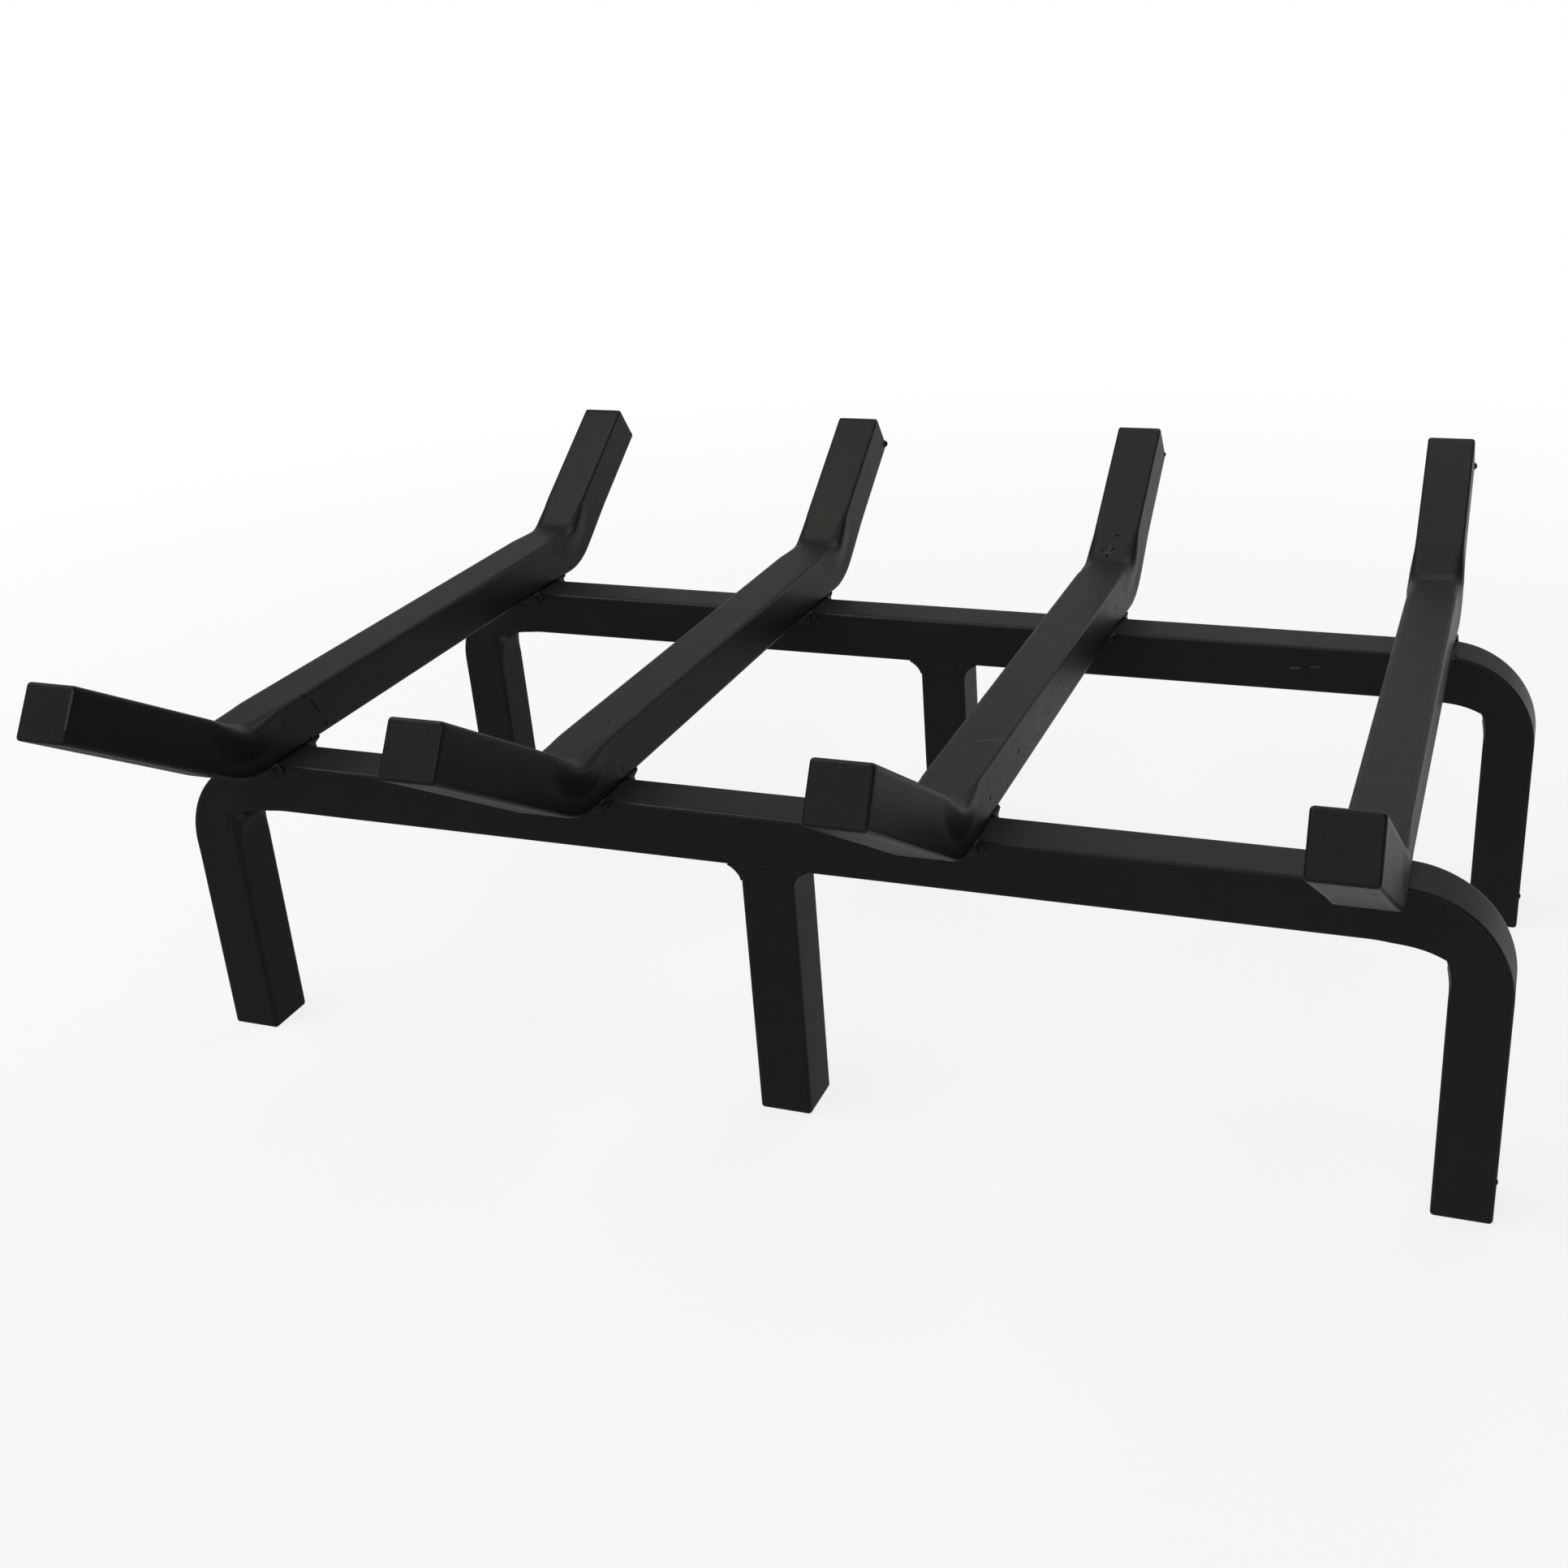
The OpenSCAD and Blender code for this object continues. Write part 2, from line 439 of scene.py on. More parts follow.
# %% Lumps and runs of paint
def lump(bm, place, radii, way=None):
    """A small squashed ball: a drip, a spatter or a stop in a weld. Z turns to way."""
    shape = Matrix.Diagonal(radii).to_4x4()
    if way:
        shape = way.to_track_quat("Z", "X").to_matrix().to_4x4() @ shape
    shape = Matrix.Translation(place) @ shape
    made = bmesh.ops.create_icosphere(bm, subdivisions=3, radius=1, matrix=shape)
    for vert in made["verts"]:
        for face in vert.link_faces:
            face.smooth = True


def paint_run(bm, start, end, radius):
    """A thin raised line of paint from start to end."""
    half_length = (end - start).length / 2
    lump(bm, (start + end) / 2, Vector((radius, radius, half_length)), end - start)


# %% [markdown]
# ## Making an object of a mesh
#
# Every piece ends the same way: the mesh becomes an object at the origin, it rides
# on the one body of the grate, it takes the place of its CAD node, and it gets its
# paints.

# %% Finish a piece
BODY = "root"
pieces_made = []


def finish_piece(bm, name, node, materials):
    """Turns the mesh into a piece that stands for the CAD node."""
    mesh = bpy.data.meshes.new(name)
    bm.to_mesh(mesh)
    bm.free()
    for material in materials:
        mesh.materials.append(material)
    piece = bpy.data.objects.new(name, mesh)
    bpy.context.collection.objects.link(piece)
    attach(piece, BODY)
    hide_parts(node)
    pieces_made.append(piece)


# %% [markdown]
# ## Effects that the paints share
#
# Three effects appear in more than one paint, so each is a node group that is built
# once. `paint_grain` is the fine, sandy skin of sprayed heat-proof paint. `pinholes`
# are the rare specks where the paint did not close over a pore. `hearth_dust` is the
# faint lighter film on faces that look up. Each gives a number that varies over the
# surface, and the paint itself decides what to do with it.

# %% Node helpers


class Nodes:
    """A short way to add nodes and links to one node tree."""

    def __init__(self, tree):
        self.tree = tree

    def add(self, kind, values=None, **settings):
        node = self.tree.nodes.new(kind)
        for key, value in settings.items():
            setattr(node, key, value)
        for key, value in (values or {}).items():
            node.inputs[key].default_value = value
        return node

    def link(self, source, target):
        self.tree.links.new(source, target)

    def math(self, operation, first, second=None, third=None, clamp=False):
        node = self.add("ShaderNodeMath", operation=operation, use_clamp=clamp)
        for socket, value in zip(node.inputs, (first, second, third)):
            if value is None:
                continue
            if isinstance(value, (int, float)):
                socket.default_value = value
            else:
                self.link(value, socket)
        return node.outputs["Value"]

    def vector(self, operation, first, second, third=None):
        node = self.add("ShaderNodeVectorMath", operation=operation)
        for socket, value in zip(node.inputs, (first, second, third)):
            if value is not None:
                self.link(value, socket)
        return next(s for s in node.outputs if s.enabled)

    def noise(self, vector, scale, detail=2.0, rough=0.5):
        values = {"Detail": detail, "Roughness": rough}
        node = self.add("ShaderNodeTexNoise", values)
        self.link(vector, node.inputs["Vector"])
        if isinstance(scale, (int, float)):
            node.inputs["Scale"].default_value = scale
        else:
            self.link(scale, node.inputs["Scale"])
        return node.outputs["Fac"]

    def span(self, value, low, high, to_low=0.0, to_high=1.0):
        node = self.add(
            "ShaderNodeMapRange",
            {"From Min": low, "From Max": high, "To Min": to_low, "To Max": to_high},
            interpolation_type="SMOOTHSTEP",
        )
        self.link(value, node.inputs["Value"])
        return node.outputs["Result"]

    def mix(self, factor, first, second):
        node = self.add("ShaderNodeMix", data_type="RGBA")
        for name, value in (("Factor", factor), ("A", first), ("B", second)):
            socket = next(s for s in node.inputs if s.name == name and s.enabled)
            if isinstance(value, bpy.types.NodeSocket):
                self.link(value, socket)
            else:
                socket.default_value = value
        return next(s for s in node.outputs if s.enabled)


def new_group(name, inputs, outputs):
    """A shader node group with named number or vector inputs and number outputs."""
    tree = bpy.data.node_groups.new(name, "ShaderNodeTree")
    for label, kind, default in inputs:
        socket = tree.interface.new_socket(label, in_out="INPUT", socket_type=kind)
        if default is not None:
            socket.default_value = default
    for label in outputs:
        tree.interface.new_socket(label, in_out="OUTPUT", socket_type="NodeSocketFloat")
    nodes = Nodes(tree)
    return tree, nodes, nodes.add("NodeGroupInput"), nodes.add("NodeGroupOutput")


def shared(n, group, place):
    """A shared group in the tree of n, told where on the object it is."""
    node = n.add("ShaderNodeGroup", node_tree=group)
    n.link(place, node.inputs["Vector"])
    return node


def empty_nodes(owner):
    """The nodes of a material or world, which start with none."""
    owner.use_nodes = True
    owner.node_tree.nodes.clear()
    return Nodes(owner.node_tree)


# %% The grain of the paint
NOISE_LOW = 0.3
NOISE_HIGH = 0.7
COARSE_GRAIN_SCALE = 0.28
COARSE_GRAIN_SHARE = 0.55
FINE_GRAIN_SHARE = 0.45
grain_group, g, g_in, g_out = new_group(
    "paint_grain",
    [("Vector", "NodeSocketVector", None), ("Grains per metre", "NodeSocketFloat", 2400.0)],
    ["Height", "Tone"],
)
fine = g.noise(g_in.outputs["Vector"], g_in.outputs["Grains per metre"], detail=3.0, rough=0.6)
coarse_scale = g.math("MULTIPLY", g_in.outputs["Grains per metre"], COARSE_GRAIN_SCALE)
coarse = g.noise(g_in.outputs["Vector"], coarse_scale, detail=2.0)
fine_part = g.math("MULTIPLY", fine, FINE_GRAIN_SHARE)
mixed = g.math("MULTIPLY_ADD", coarse, COARSE_GRAIN_SHARE, fine_part)
g.link(mixed, g_out.inputs["Height"])
g.link(g.span(fine, NOISE_LOW, NOISE_HIGH), g_out.inputs["Tone"])

# %% Pinholes
PORES_PER_METRE = 210.0
PORE_FLOOR = 0.05
PORE_RIM = 0.09
pinhole_group, g, g_in, g_out = new_group(
    "pinholes",
    [("Vector", "NodeSocketVector", None), ("Share", "NodeSocketFloat", 0.03)],
    ["Mask"],
)
cells = g.add("ShaderNodeTexVoronoi", {"Scale": PORES_PER_METRE, "Randomness": 1.0})
g.link(g_in.outputs["Vector"], cells.inputs["Vector"])
hole = g.span(cells.outputs["Distance"], PORE_FLOOR, PORE_RIM, 1.0, 0.0)
chance = g.add("ShaderNodeSeparateColor")
g.link(cells.outputs["Color"], chance.inputs["Color"])
chosen = g.math("LESS_THAN", chance.outputs["Red"], g_in.outputs["Share"])
g.link(g.math("MULTIPLY", hole, chosen), g_out.inputs["Mask"])

# %% Dust
DUST_FROM_UP = 0.35
DUST_FULL_UP = 0.95
DUST_PATCHES_PER_METRE = 38.0
PATCH_SPAN = (0.3, 0.75)
THINNEST_PATCH = 0.94
DUST_SPECKS_PER_METRE = 1500.0
SPECK_SPAN = (0.35, 0.7)
FAINTEST_SPECK = 0.55
dust_group, g, g_in, g_out = new_group(
    "hearth_dust",
    [("Vector", "NodeSocketVector", None), ("Up", "NodeSocketFloat", 0.0)],
    ["Mask"],
)
upward = g.span(g_in.outputs["Up"], DUST_FROM_UP, DUST_FULL_UP)
patches = g.noise(g_in.outputs["Vector"], DUST_PATCHES_PER_METRE, detail=4.0, rough=0.6)
patches = g.span(patches, *PATCH_SPAN, THINNEST_PATCH, 1.0)
specks = g.noise(g_in.outputs["Vector"], DUST_SPECKS_PER_METRE, detail=1.0)
specks = g.span(specks, *SPECK_SPAN, FAINTEST_SPECK, 1.0)
dusty = g.math("MULTIPLY", g.math("MULTIPLY", upward, patches), specks)
g.link(dusty, g_out.inputs["Mask"])

# %% [markdown]
# Some marks sit at one place only: a pore on the side of a bar, a scratch across its
# top, a painted highlight along the rim of a sawn end. A fourth group, `mark`, is 1 close to a line
# between two points on the object and 0 away from it. A pore is a line with no length.

# %% One mark
MARK_FULL_TO = 0.5
MARK_GONE_AT = 1.3
mark_group, g, g_in, g_out = new_group(
    "mark",
    [
        ("Vector", "NodeSocketVector", None),
        ("Start", "NodeSocketVector", None),
        ("End", "NodeSocketVector", None),
        ("Radius", "NodeSocketFloat", 0.0005),
    ],
    ["Mask"],
)
here, start, end = (g_in.outputs[name] for name in ("Vector", "Start", "End"))
line = g.vector("SUBTRACT", end, start)
reached = g.vector("DOT_PRODUCT", g.vector("SUBTRACT", here, start), line)
share = g.math("DIVIDE", reached, g.vector("DOT_PRODUCT", line, line), clamp=True)
nearest = g.vector("MULTIPLY_ADD", line, share, start)
away = g.math("DIVIDE", g.vector("DISTANCE", here, nearest), g_in.outputs["Radius"])
g.link(g.span(away, MARK_FULL_TO, MARK_GONE_AT, 1.0, 0.0), g_out.inputs["Mask"])
print("shared groups:", [t.name for t in bpy.data.node_groups])

# %% [markdown]
# ## The paints
#
# Black heat-proof paint is nearly as dark as paint gets: what the eye sees of it is
# mostly the soft gloss. So the colour stays close to black with a little variation,
# and the work goes into the roughness and the bumps. All the paints are one recipe
# with different values: for the rolled bar, with marks of its own on each log bar and
# on the rear rail, for the sawn ends with their saw lines, and for the welds.

# %% A recipe for black paint
PAINT_DARK = (0.0036, 0.0036, 0.0035, 1.0)
PAINT_LIGHT = (0.0102, 0.0101, 0.0096, 1.0)
DUST_COLOUR = (0.060, 0.057, 0.048, 1.0)
PORE_COLOUR = (0.0025, 0.0025, 0.0025, 1.0)
# Pale colour of scratches and scuffs, and of the painted highlights along two sawn rims.
RUB_AND_HIGHLIGHT_COLOUR = (0.110, 0.115, 0.120, 1.0)
PAINT_GLOSS = 0.18
PIT_BUMP = 5.0
PIT_ROUGHNESS = 0.95
PRESSED_PIT_SHARE = 0.25
GRAINS_PER_METRE = 2400.0
CLOUDS_PER_METRE = 55.0
GLOSS_PATCHES_PER_METRE = 90.0
GLOSS_VARIATION = 0.015
EDGE_POLISH = -0.06
DUST_ROUGHNESS = 0.06
WAVES_PER_METRE = 260.0
PRESS_MARKS_PER_METRE = 620.0
PRESS_MARK_DEPTH = 0.5
SAW_STREAKS = (110.0, 400.0, 1000.0)
SAW_DEPTH = 1.5
BUMP_UNIT = 0.1 * MM
PAINT_IOR = 1.5


def marks_mask(n, place, marks):
    """One mask for a list of marks, each a start, an end, a radius and a strength."""
    total = None
    for start, end, radius, strength in marks:
        mark = shared(n, mark_group, place)
        mark.inputs["Start"].default_value = Vector(start) * MM
        mark.inputs["End"].default_value = Vector(end) * MM
        mark.inputs["Radius"].default_value = radius * MM
        mask = n.math("MULTIPLY", mark.outputs["Mask"], strength)
        total = n.math("MAXIMUM", total, mask) if total else mask
    return total


def black_paint(
    name, roughness, grain_depth, wave_depth, pit_share, dust, sawn=False, pores=(), rubs_and_highlights=()
):
    """Satin black paint with its grain, waves, pinholes, dust and marks, among them painted
    highlights.
    """
    material = bpy.data.materials.new(name)
    n = empty_nodes(material)
    place = n.add("ShaderNodeTexCoord").outputs["Object"]
    geometry = n.add("ShaderNodeNewGeometry")
    edge = n.add("ShaderNodeAttribute", attribute_name="edge").outputs["Fac"]
    pressed = n.add("ShaderNodeAttribute", attribute_name="pressed").outputs["Fac"]

    grain = shared(n, grain_group, place)
    grain.inputs["Grains per metre"].default_value = GRAINS_PER_METRE
    holes = shared(n, pinhole_group, place)
    more_holes = n.math("MULTIPLY_ADD", pressed, PRESSED_PIT_SHARE, pit_share)
    n.link(more_holes, holes.inputs["Share"])
    film = shared(n, dust_group, place)
    normal_parts = n.add("ShaderNodeSeparateXYZ")
    n.link(geometry.outputs["Normal"], normal_parts.inputs["Vector"])
    n.link(normal_parts.outputs["Z"], film.inputs["Up"])

    cloudy = n.noise(place, CLOUDS_PER_METRE, detail=4.0, rough=0.6)
    shade = n.math("MULTIPLY_ADD", grain.outputs["Tone"], 0.5, n.math("MULTIPLY", cloudy, 0.5))
    colour = n.mix(shade, PAINT_DARK, PAINT_LIGHT)
    colour = n.mix(n.math("MULTIPLY", film.outputs["Mask"], dust), colour, DUST_COLOUR)
    # Pale marks: scratches and scuffs, and painted highlights along the rims of two sawn ends.
    if rubs_and_highlights:
        colour = n.mix(marks_mask(n, place, rubs_and_highlights), colour, RUB_AND_HIGHLIGHT_COLOUR)
    pits = holes.outputs["Mask"]
    if pores:
        pits = n.math("MAXIMUM", pits, marks_mask(n, place, pores))
    colour = n.mix(pits, colour, PORE_COLOUR)

    patches = n.noise(place, GLOSS_PATCHES_PER_METRE, detail=3.0)
    smoothest = roughness - GLOSS_VARIATION
    roughest = roughness + GLOSS_VARIATION
    patches = n.span(patches, NOISE_LOW, NOISE_HIGH, smoothest, roughest)
    worn = n.math("MULTIPLY_ADD", edge, EDGE_POLISH, patches)
    gloss = n.math("MULTIPLY_ADD", film.outputs["Mask"], DUST_ROUGHNESS, worn, clamp=True)
    gloss = n.math("MAXIMUM", gloss, n.math("MULTIPLY", pits, PIT_ROUGHNESS))

    waves = n.noise(place, WAVES_PER_METRE, detail=2.0)
    press_marks = n.noise(place, PRESS_MARKS_PER_METRE, detail=3.0, rough=0.65)
    press_marks = n.math("MULTIPLY", press_marks, pressed)
    height = n.math("MULTIPLY", grain.outputs["Height"], grain_depth)
    height = n.math("MULTIPLY_ADD", waves, wave_depth, height)
    height = n.math("MULTIPLY_ADD", press_marks, PRESS_MARK_DEPTH, height)
    height = n.math("MULTIPLY_ADD", pits, -PIT_BUMP, height)
    if sawn:
        stretched = n.add("ShaderNodeVectorMath", {1: SAW_STREAKS}, operation="MULTIPLY")
        n.link(place, stretched.inputs[0])
        streaks = n.noise(stretched.outputs["Vector"], 1.0, detail=3.0, rough=0.6)
        height = n.math("MULTIPLY_ADD", streaks, SAW_DEPTH, height)

    bump = n.add("ShaderNodeBump", {"Strength": 1.0, "Distance": BUMP_UNIT})
    n.link(height, bump.inputs["Height"])

    shader = n.add(
        "ShaderNodeBsdfPrincipled",
        {"Metallic": 0.0, "IOR": PAINT_IOR, "Specular IOR Level": PAINT_GLOSS},
    )
    n.link(colour, shader.inputs["Base Color"])
    n.link(gloss, shader.inputs["Roughness"])
    n.link(bump.outputs["Normal"], shader.inputs["Normal"])
    output = n.add("ShaderNodeOutputMaterial")
    n.link(shader.outputs["BSDF"], output.inputs["Surface"])
    return material


# %% [markdown]
# The marks themselves are lists of places in millimetres, found in the photograph
# and followed back onto the CAD model. Pores are given by their place and radius.

# %% Where the marks are
# The right-hand rims of the front tips of log bars 1 and 2, where a painted highlight runs.
FIRST_HIGHLIGHT_RIM = -194.1
SECOND_HIGHLIGHT_RIM = -61.5
PORES = {
    "log_bar_1": [(-193.8, 117.0, 116.2, 0.9)],
    "log_bar_2": [
        (-67.8, -83.3, 133.2, 0.6),
        (-76.2, -99.5, 133.2, 0.4),
        (-61.2, -103.5, 129.5, 0.5),
        (-61.2, -89.1, 118.9, 0.6),
        (-61.2, -41.0, 125.3, 0.4),
    ],
    "log_bar_3": [
        (71.4, -15.9, 121.5, 0.5),
        (71.4, -28.9, 118.7, 0.5),
        (71.4, -45.9, 120.4, 0.4),
        (71.4, -54.4, 123.0, 0.8),
        (71.4, -69.0, 117.4, 0.5),
        (71.4, -88.6, 121.3, 0.9),
        (71.4, 94.0, 122.6, 0.8),
        (71.4, 150.9, 136.5, 0.4),
        (60.3, -79.6, 133.2, 0.4),
        (67.4, -98.1, 133.2, 0.4),
        (63.0, 133.1, 140.8, 0.6),
        (60.5, 124.0, 134.6, 0.6),
        (58.2, 126.2, 136.1, 0.5),
        (62.6, 127.2, 136.8, 0.5),
    ],
    "log_bar_4": [
        (197.1, -171.2, 145.0, 0.6),
        (200.9, -183.6, 152.6, 0.5),
        (191.8, -156.4, 135.8, 0.5),
    ],
}
# On log bars 1 and 2 these lines are painted highlights along the sawn rim; the rest are scratches
# and scuffs.
RUBS_AND_HIGHLIGHTS = {
    "log_bar_1": [((FIRST_HIGHLIGHT_RIM, -190.0, 176.9), (FIRST_HIGHLIGHT_RIM, -196.3, 166.8), 0.5, 0.45)],
    "log_bar_2": [((SECOND_HIGHLIGHT_RIM, -190.0, 176.9), (SECOND_HIGHLIGHT_RIM, -198.3, 163.6), 0.4, 0.3)],
    "log_bar_3": [
        ((62.7, -71.0, 133.2), (70.7, -67.6, 133.2), 0.25, 0.5),
        ((59.4, 125.4, 135.5), (61.9, 125.2, 135.4), 0.5, 0.25),
        ((60.6, 126.6, 136.4), (61.2, 128.4, 137.6), 0.4, 0.25),
    ],
    "log_bar_4": [],
    "rear_rail": [
        ((143.3, 86.4, 104.9), (146.4, 86.4, 105.2), 0.5, 0.3),
        ((151.2, 86.4, 105.8), (154.0, 86.4, 106.1), 0.5, 0.3),
    ],
}


def as_points(pores):
    """Pores as marks whose line has no length."""
    return [((x, y, z), (x, y, z), radius, 1.0) for x, y, z, radius in pores]


# %% The paints
ON_BAR = dict(roughness=0.45, grain_depth=0.45, wave_depth=0.16, pit_share=0.004, dust=0.16)
ON_SAWN = dict(roughness=0.50, grain_depth=0.45, wave_depth=0.16, pit_share=0.002, dust=0.08)
ON_WELD = dict(roughness=0.45, grain_depth=0.40, wave_depth=0.30, pit_share=0.020, dust=0.10)
bar_paint = black_paint("paint_on_bar", **ON_BAR)
rear_rail_paint = black_paint("paint_on_rear_rail", **ON_BAR, rubs_and_highlights=RUBS_AND_HIGHLIGHTS["rear_rail"])
log_bar_paints = {}
for node, pores in PORES.items():
    log_bar_paints[node] = black_paint(
        f"paint_on_{node}", **ON_BAR, pores=as_points(pores), rubs_and_highlights=RUBS_AND_HIGHLIGHTS[node]
    )
sawn_paint = black_paint("paint_on_sawn_end", **ON_SAWN, sawn=True)
weld_paint = black_paint("paint_on_weld", **ON_WELD)
print("paints:", [m.name for m in bpy.data.materials])

# %% [markdown]
# ## The rails and their legs
#
# A rail and its two end legs are one bar that runs up from the hearth, round a bend,
# along the top and down again. Both halves are alike, so the ring starts in the
# middle, runs to the right-hand foot, and the half is mirrored. The inside of the
# bend was pinched by the press: two gentle swellings meet there in a crease. Their
# surfaces are two large circles, and the inner skin is moved onto them. At the crease
# the skin goes in once more, as a small pit.

# %% The bend of a rail
RAIL_TURN = math.pi / 2 + LEG_TOE_IN
RAIL_INNER = RAIL_BEND - BAR
RAIL_MID_RADIUS = RAIL_BEND - HALF
RAIL_BEND_X = LEG_X - RAIL_MID_RADIUS * math.tan(RAIL_TURN / 2)
RAIL_BEND_STEPS = 60
SIDE = Vector((0, 1, 0))


def circle_reach(centre_across, centre_down, radius, angle):
    """How far a ray at this angle goes from the bend's centre to a circle's far side."""
    toward = centre_across * math.sin(angle) + centre_down * math.cos(angle)
    square = centre_across**2 + centre_down**2
    return toward + math.sqrt(max(radius**2 - square + toward**2, 0))


corner_x = RAIL_INNER * math.tan(RAIL_TURN / 2)
crease_down = (CREASE_DROP - CREASE_INSET * math.sin(LEG_TOE_IN)) / math.cos(LEG_TOE_IN)
crease_x = corner_x - crease_down * math.sin(LEG_TOE_IN) - CREASE_INSET * math.cos(LEG_TOE_IN)
rail_swell_start = crease_x - RAIL_SWELL_LENGTH
rail_swell_radius = (RAIL_SWELL_LENGTH**2 + CREASE_DROP**2) / (2 * CREASE_DROP)
leg_swell_length = corner_x - crease_down
leg_swell_radius = (leg_swell_length**2 + CREASE_INSET**2) / (2 * CREASE_INSET)
print("crease", round(crease_x / MM, 2), "mm past the start of the bend")


PIT_DEPTH = 3.8 * MM
PIT_LENGTH = 3.8 * MM
PIT_WIDTH = 6.8 * MM
PIT_ASIDE = -1.8 * MM
CREASE_ANGLE = math.atan2(crease_x, RAIL_INNER - CREASE_DROP)
CREASE_ALONG = RAIL_INNER * (CREASE_ANGLE - RAIL_TURN / 2)


def rail_inner_shift(angle, along, sideways):
    """How far the inner face of a rail's bend moves, with the pit of the crease."""
    pit = PIT_DEPTH * fade(along - CREASE_ALONG, PIT_LENGTH)
    pit *= fade(sideways - PIT_ASIDE, PIT_WIDTH)
    return rail_swell(angle, along) + pit


def rail_swell(angle, along):
    """How far the inner face of a rail's bend moves outwards, away from the centre."""
    from_start = angle + RAIL_TURN / 2
    if from_start < 0:
        before = -(along + RAIL_INNER * RAIL_TURN / 2)
        risen = max(-rail_swell_start - before, 0)
        return -(rail_swell_radius - math.sqrt(rail_swell_radius**2 - risen**2))
    if from_start > RAIL_TURN:
        return 0.0
    down = -(rail_swell_radius - RAIL_INNER)
    rail_side = circle_reach(rail_swell_start, down, rail_swell_radius, from_start)
    from_end = RAIL_TURN - from_start
    leg_side = circle_reach(0.0, -(leg_swell_radius - RAIL_INNER), leg_swell_radius, from_end)
    return min(rail_side, leg_side) - RAIL_INNER


# %% Build a rail
RAIL_PRESS = dict(
    bulge=0.9 * MM,
    bulge_reach=15 * MM,
    neck=0.35 * MM,
    soft_radius=5.6 * MM,
    soft_reach=20 * MM,
)
BELOW_FLOOR = 6 * MM
OVER_LEG = 20 * MM
OVER_LEG_STEPS = 14


def fill_edges_over_leg(bm, y):
    """Squares the rail's lower edges over the centre leg, where weld and paint fill them."""
    flat = HALF - EDGE_RADIUS
    for vert in bm.verts:
        aside = abs(vert.co.x - CENTRE_LEG_X) - HALF
        outward = abs(vert.co.y - y) - flat
        downward = RAIL_AXIS_Z - vert.co.z - flat
        if aside > FILLET_LEG or outward <= 0 or downward <= 0:
            continue
        share = EDGE_RADIUS / max(outward, downward) - 1
        share *= fade(max(aside, 0), FILLET_LEG)
        vert.co.y += math.copysign(outward * share, vert.co.y - y)
        vert.co.z -= downward * share


def everything_in(bm):
    """All the vertices, edges and faces of a mesh."""
    return bm.verts[:] + bm.edges[:] + bm.faces[:]


def build_rail(name, node, y, seed, paint):
    """A rail with both legs, from the middle to the right foot and mirrored."""
    bm = new_bar_mesh()
    along = Vector((1, 0, 0))
    ring = section_ring(bm, Vector((0, y, RAIL_AXIS_Z)), SIDE, along)
    ring = run(bm, ring, along * OVER_LEG, OVER_LEG_STEPS)
    ring = run_to_bend(bm, ring, along, RAIL_BEND_X - OVER_LEG)
    centre = Vector((RAIL_BEND_X, y, RAIL_TOP - RAIL_BEND))
    ring = turn(bm, ring, centre, SIDE, RAIL_TURN, RAIL_BEND_STEPS)
    down = Vector((-math.sin(LEG_TOE_IN), 0, -math.cos(LEG_TOE_IN)))
    run_from_bend(bm, ring, down, RAIL_TOP - RAIL_BEND + BELOW_FLOOR)
    middle = Vector((math.sin(RAIL_TURN / 2), 0, math.cos(RAIL_TURN / 2)))
    bend = Bend(centre, middle, SIDE, RAIL_TURN, RAIL_INNER)
    press_bend(bm, bend, rail_inner_shift, **RAIL_PRESS)
    bmesh.ops.mirror(bm, geom=everything_in(bm), axis="X", merge_dist=HAIR)
    bmesh.ops.remove_doubles(bm, verts=bm.verts[:], dist=HAIR)
    bmesh.ops.recalc_face_normals(bm, faces=bm.faces[:])
    uneven(bm, seed)
    fill_edges_over_leg(bm, y)
    bmesh.ops.bisect_plane(
        bm, geom=everything_in(bm), plane_co=(0, 0, 0), plane_no=(0, 0, -1), clear_outer=True
    )
    cap_ends(bm)
    for place in RAIL_SPATTERS[node]:
        lump(bm, Vector(place) * MM, SPATTER)
    finish_piece(bm, name, node, [paint, sawn_paint])


# %% Both rails
RAIL_SPATTERS = {
    "front_rail": [(234.6, -104.0, 15.5), (203.9, -104.6, 113.7)],
    "rear_rail": [(234.7, 87.5, 14.3), (205.4, 87.8, 113.7)],
}
SPATTER = Vector((0.7, 0.9, 1.2)) * MM

build_rail("bent_front_rail", "front_rail", -RAIL_Y, 1, bar_paint)
build_rail("bent_rear_rail", "rear_rail", RAIL_Y, 2, rear_rail_paint)
print("faces in a rail:", len(pieces_made[0].data.polygons))

# %% [markdown]
# ## The centre legs
#
# A centre leg is a plain sawn length that stands under its rail. It isn't bent, so
# its ring only runs once, from the underside of the rail down to the hearth. At the
# top the bar was not cut quite square, so a fine gap stays open between leg and rail.
# It is deepest at the left and closes towards the right, where paint has filled it.

# %% Centre legs
SEAM_HEIGHT = 0.42 * MM
SEAM_LIP = 0.22 * MM
SEAM_DEPTH = 2.0 * MM
SEAM_FADE = 0.75
SEAM_RAGGEDNESS = 0.5
SEAM_BREAKS = 3.5 * MM
SEAM_SEED_STEP = 2.3
WELDED_HEIGHT = 7 * MM
WELDED_STEPS = 7


def fill_edges_under_rail(bm, y):
    """Squares the leg's upright edges beside the welds, where weld and paint fill them."""
    flat = HALF - EDGE_RADIUS
    for vert in bm.verts:
        below = RAIL_UNDERSIDE - vert.co.z
        aside = abs(vert.co.x - CENTRE_LEG_X) - flat
        outward = abs(vert.co.y - y) - flat
        if below > FILLET_LEG or aside <= 0 or outward <= 0:
            continue
        share = EDGE_RADIUS / max(aside, outward) - 1
        share *= fade(max(below - FILLET_LEG / 2, 0), FILLET_LEG / 2)
        vert.co.x += math.copysign(aside * share, vert.co.x - CENTRE_LEG_X)
        vert.co.y += math.copysign(outward * share, vert.co.y - y)


